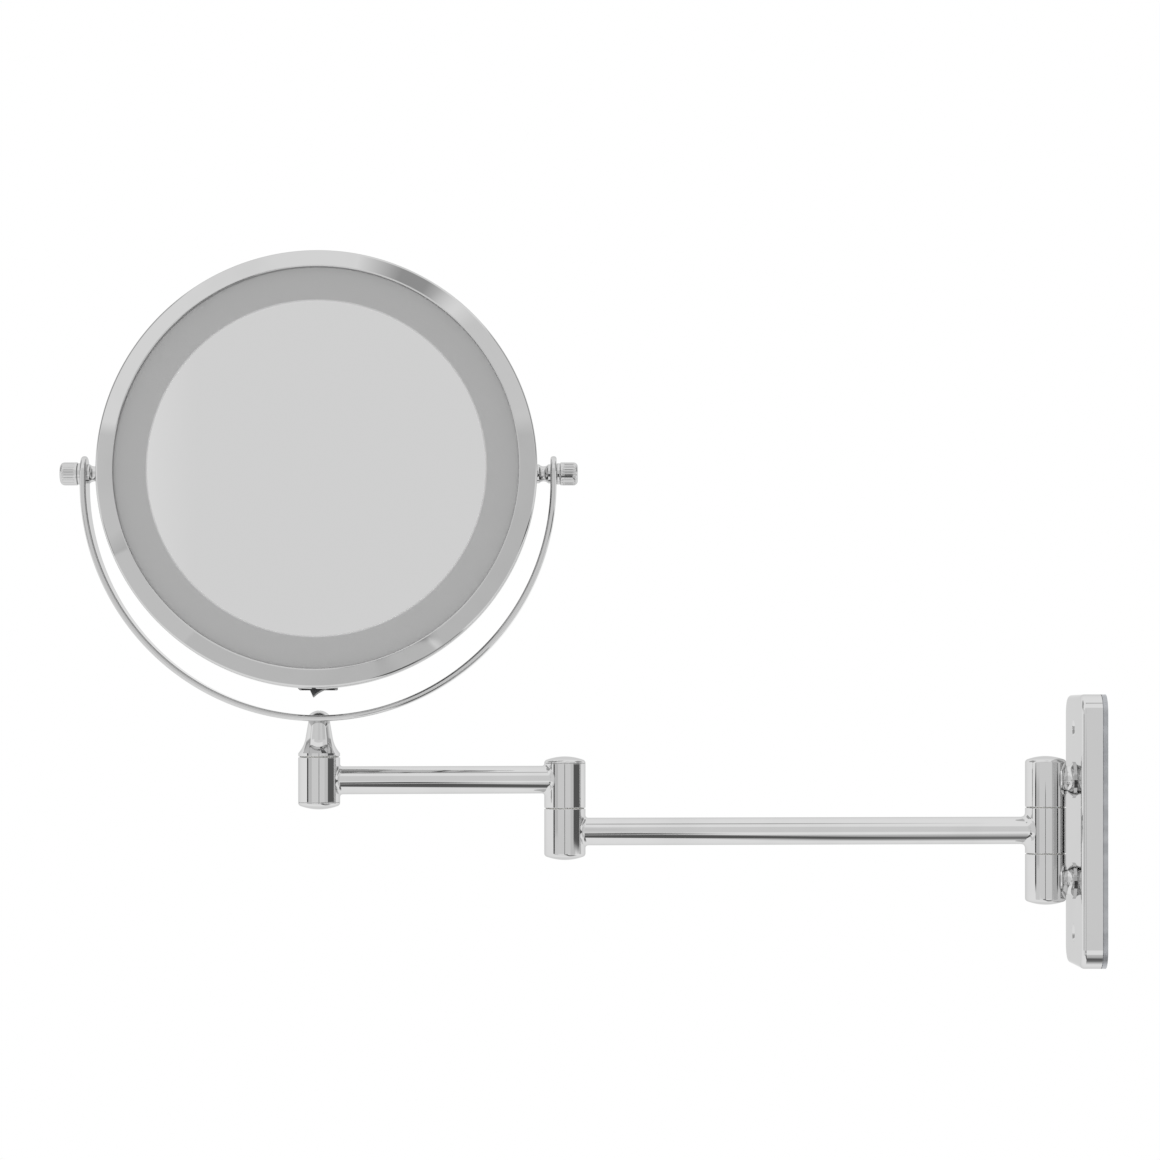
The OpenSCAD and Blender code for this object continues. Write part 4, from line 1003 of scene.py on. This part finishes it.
keptFinishes = {
    "sheet": ["wall_base"],
    "pressed": ["wall_cover"],
    "zinc": ["post_screws", "wall_hinge_pin", "elbow_pin", "elbow_spring_washer", "elbow_screw",
             "neck_spindle", "neck_spring_washer", "neck_retaining_screw", "carrier_screws",
             "battery_contacts", "battery_springs", "pivot_studs", "rocker_pin"],
    "nylon": ["wall_washers", "elbow_washer", "neck_washer"],
    "white": ["diffuser_ring", "carrier"],
    "black": ["battery_box", "battery_lid"],
    "board": ["lamp_board"],
    "lamp": ["lamps_set"],
    "cell": ["battery_cells"],
    "brass": ["switch_terminals"],
    "wire": ["inner_wires"],
}
keptSharp = 30  # degrees
for finish, names in keptFinishes.items():
    for name in names:
        mesh = frame["nodes"][name].data
        mesh.materials.clear()
        mesh.materials.append(finishes[finish])
        mesh.shade_smooth()
        mesh.set_sharp_from_angle(angle=math.radians(keptSharp))
print("inner parts finished")

# Stage in metres: floor, studio cards that only reflections see, lamps, world and camera

floorLook = {"height": -0.42, "reach": 6.0, "colour": (0.9, 0.9, 0.9), "roughness": 0.9,
             "shadow": 0.25, "fadeFrom": 0.5, "fadeTo": 1.6}


def stagePlane(name, size, location, rotation, material):
    bm = bmesh.new()
    bmesh.ops.create_grid(bm, x_segments=1, y_segments=1, size=0.5)
    bmesh.ops.scale(bm, vec=(size[0], size[1], 1), verts=bm.verts)
    mesh = bpy.data.meshes.new(name)
    bm.to_mesh(mesh)
    bm.free()
    mesh.materials.append(material)
    o = bpy.data.objects.new(name, mesh)
    bpy.context.scene.collection.objects.link(o)
    o.location = location
    o.rotation_euler = [math.radians(a) for a in rotation]
    return o


def seenRays(tree):
    # 1 for what the camera, a reflection or glass sees, 0 for light that falls on the object
    rays = add(tree, "LightPath").outputs
    through = calc(tree, "MAXIMUM", rays["Is Glossy Ray"], rays["Is Transmission Ray"])
    return calc(tree, "MAXIMUM", rays["Is Camera Ray"], through)


def whiteGlow(tree, level):
    return add(tree, "Emission", {"Color": (1, 1, 1, 1), "Strength": level}).outputs[0]


def mixShaders(tree, share, first, second):
    return add(tree, "MixShader", {0: share, 1: first, 2: second}).outputs[0]


def floorFinish():
    # Pale floor that keeps the object's shadow, fades to plain white away from it and is open
    # from below
    look = floorLook
    material, tree, shader = newMaterial("paleFloor", look["colour"], 0.0, look["roughness"])
    seen = seenRays(tree)
    geometry = add(tree, "NewGeometry").outputs
    away = add(tree, "VectorMath", {0: geometry["Position"]}, operation="LENGTH").outputs["Value"]
    white = spread(tree, away, look["fadeFrom"], look["fadeTo"], 1.0 - look["shadow"], 1.0)
    share = calc(tree, "MULTIPLY", seen, white)
    lit = mixShaders(tree, share, shader.outputs[0], whiteGlow(tree, 1.0))
    clear = add(tree, "BsdfTransparent").outputs[0]
    mixed = mixShaders(tree, geometry["Backfacing"], lit, clear)
    tree.links.new(mixed, tree.nodes["Material Output"].inputs["Surface"])
    return material


floorSize = (2 * floorLook["reach"], 2 * floorLook["reach"])
floor = stagePlane("floor", floorSize, (0, 0, floorLook["height"]), (0, 0, 0), floorFinish())
floor.visible_glossy = False


def cardFinish(name, level, fade):
    # Card of one grey; fade gives the soft share of its left, right, low or near, and high or
    # far edge
    material = bpy.data.materials.new(name)
    material.use_nodes = True
    tree = material.node_tree
    tree.nodes.remove(tree.nodes["Principled BSDF"])
    spot = add(tree, "TexCoord").outputs["Generated"]
    parts = add(tree, "SeparateXYZ", {0: spot}).outputs
    masks = []
    for axis in (0, 1):
        masks.append(spread(tree, parts[axis], 0.0, fade[2 * axis], 0.0, 1.0))
        masks.append(spread(tree, parts[axis], 1.0 - fade[2 * axis + 1], 1.0, 1.0, 0.0))
    across = calc(tree, "MULTIPLY", masks[0], masks[1])
    along = calc(tree, "MULTIPLY", masks[2], masks[3])
    clear = add(tree, "BsdfTransparent").outputs[0]
    share = calc(tree, "MULTIPLY", across, along)
    mixed = mixShaders(tree, share, clear, whiteGlow(tree, level))
    tree.links.new(mixed, tree.nodes["Material Output"].inputs["Surface"])
    return material


def onlyReflected(o):
    o.visible_camera = False
    o.visible_diffuse = False
    o.visible_shadow = False
    o.visible_transmission = False
    o.visible_volume_scatter = False


evenFade = (0.05, 0.05, 0.05, 0.05)


def standingCard(name, level, distance, azimuths, rise, fade=evenFade):
    # Azimuth 0 stands in front of the mirror's face, positive towards the wall plate
    turn = math.radians(sum(azimuths) / 2)
    width = 2 * distance * math.tan(math.radians(azimuths[1] - azimuths[0]) / 2)
    centre = Vector(((cadBox[0].x + cadBox[1].x) / 2, 0, sum(rise) / 2))
    spot = centre + Vector((math.sin(turn), -math.cos(turn), 0)) * distance
    onlyReflected(stagePlane(name, (width, rise[1] - rise[0]), spot, (90, 0, math.degrees(turn)),
                             cardFinish(name, level, fade)))


def lyingCard(name, level, across, along, z, fade=evenFade, lean=0):
    # Lies at height z, or leans about the line across its middle
    size = (across[1] - across[0], along[1] - along[0])
    spot = (sum(across) / 2, sum(along) / 2, z)
    onlyReflected(stagePlane(name, size, spot, (lean, 0, 0), cardFinish(name, level, fade)))


def tiltedCard(name, level, size, spot, tilt, fade=evenFade):
    # Stands across the view close to the arms, tilted sideways
    onlyReflected(stagePlane(name, size, spot, (90, tilt, 0), cardFinish(name, level, fade)))


# Standing: level, distance, azimuths, rise, fade; lying: level, across, along, height, fade, lean
standingCard("studioWall", 0.8, 3.4, (-42, 42), (-0.6, 2.66))
standingCard("wallPanel", 0.735, 3.2, (-10.5, 12), (0.4, 1.7), (0.06, 0.06, 0.1, 0.1))
standingCard("leftScreen", 0.78, 3.1, (-64, -36), (-1.8, 1.3), (0.1, 0.1, 0.05, 0.05))
standingCard("leftShelf", 0.64, 2.9, (-56, -38), (-0.2, 0.12), (0.08, 0.08, 0.1, 0.3))
standingCard("leftEdge", 0.04, 2.7, (-66.5, -57.5), (-0.3, 0.2), (0.06, 0.06, 0.1, 0.3))
standingCard("rightScreen", 0.7, 3.0, (31, 62), (-1.75, 1.75), (0.06, 0.06, 0.05, 0.15))
standingCard("rightTop", 0.84, 2.6, (30, 64), (1.2, 3.4), (0.1, 0.1, 0.1, 0.2))
standingCard("leftHigh", 0.42, 1.8, (-124, -72), (0.45, 2.6), (0.1, 0.1, 0.08, 0.1))
standingCard("rightHigh", 0.4, 1.8, (68, 124), (0.4, 2.4), (0.1, 0.1, 0.08, 0.1))
standingCard("darkDoor", 0.12, 1.6, (48, 92), (-0.15, 0.08), (0.04, 0.04, 0.12, 0.2))
standingCard("tripod", 0.1, 1.85, (-2.6, 0.9), (-1.2, 0.06), (0.2, 0.2, 0.02, 0.04))
lyingCard("apron", 0.72, (-2.1, 1.2), (-2.0, -1.35), -1.15)
lyingCard("apronWing", 0.7, (0.7, 2.0), (-2.9, -1.5), -1.16, (0.1, 0.05, 0.05, 0.05))
lyingCard("tableRight", 0.17, (0.0, 1.0), (-1.75, 0.15), -1.14, (0.1, 0.04, 0.6, 0.29))
tiltedCard("armFlag", 0.08, (0.21, 0.15), (-0.158, -0.55, -0.181), -22, (0.1, 0.25, 0.03, 0.4))
tiltedCard("armScreen", 0.12, (0.22, 0.8), (-0.014, -0.55, -0.662), -22, (0.1, 0.2, 0.12, 0.015))
lyingCard("topFlag", 0.42, (-0.25, 0.33), (-0.79, -0.49), 1.44, (0.4, 0.35, 0.3, 0.3), 24)


softboxes = {
    "frontSoftbox": {"place": (-0.35, -2.6, -0.05), "target": (-0.3, 0, 0.1), "size": (1.4, 1.0),
                     "watts": 28},
    "topSoftbox": {"place": (-0.3, 0.15, 1.8), "target": (-0.3, 0, 0.0), "size": (1.2, 0.8),
                   "watts": 9},
}


def softbox(name, place, target, size, watts):
    lamp = bpy.data.lights.new(name, "AREA")
    lamp.shape = "RECTANGLE"
    lamp.size, lamp.size_y = size
    lamp.energy = watts
    o = bpy.data.objects.new(name, lamp)
    bpy.context.scene.collection.objects.link(o)
    o.location = place
    aim = Vector(target) - Vector(place)
    o.rotation_euler = aim.to_track_quat("-Z", "Y").to_euler()
    o.visible_glossy = False


for name, look in softboxes.items():
    softbox(name, **look)

worldLook = {"onObject": 0.55, "seen": 1.0}


def buildWorld():
    world = bpy.data.worlds.new("studio")
    bpy.context.scene.world = world
    world.use_nodes = True
    tree = world.node_tree
    level = spread(tree, seenRays(tree), 0.0, 1.0, worldLook["onObject"], worldLook["seen"])
    back = tree.nodes["Background"]
    back.inputs["Color"].default_value = (1, 1, 1, 1)
    tree.links.new(level, back.inputs["Strength"])


buildWorld()

cameraLook = {"place": (-0.2403, -1.7, 0.0516), "lens": 113.59, "sensor": 36,
              "shiftX": -0.0017, "shiftY": 0.12}


def buildCamera():
    c = cameraLook
    data = bpy.data.cameras.new("viewCamera")
    data.lens = c["lens"]
    data.sensor_width = c["sensor"]
    data.shift_x = c["shiftX"]
    data.shift_y = c["shiftY"]
    o = bpy.data.objects.new("viewCamera", data)
    bpy.context.scene.collection.objects.link(o)
    o.location = c["place"]
    o.rotation_euler = (math.radians(90), 0, 0)
    bpy.context.scene.camera = o


buildCamera()
bpy.context.scene.view_settings.view_transform = "Standard"
print("stage set")
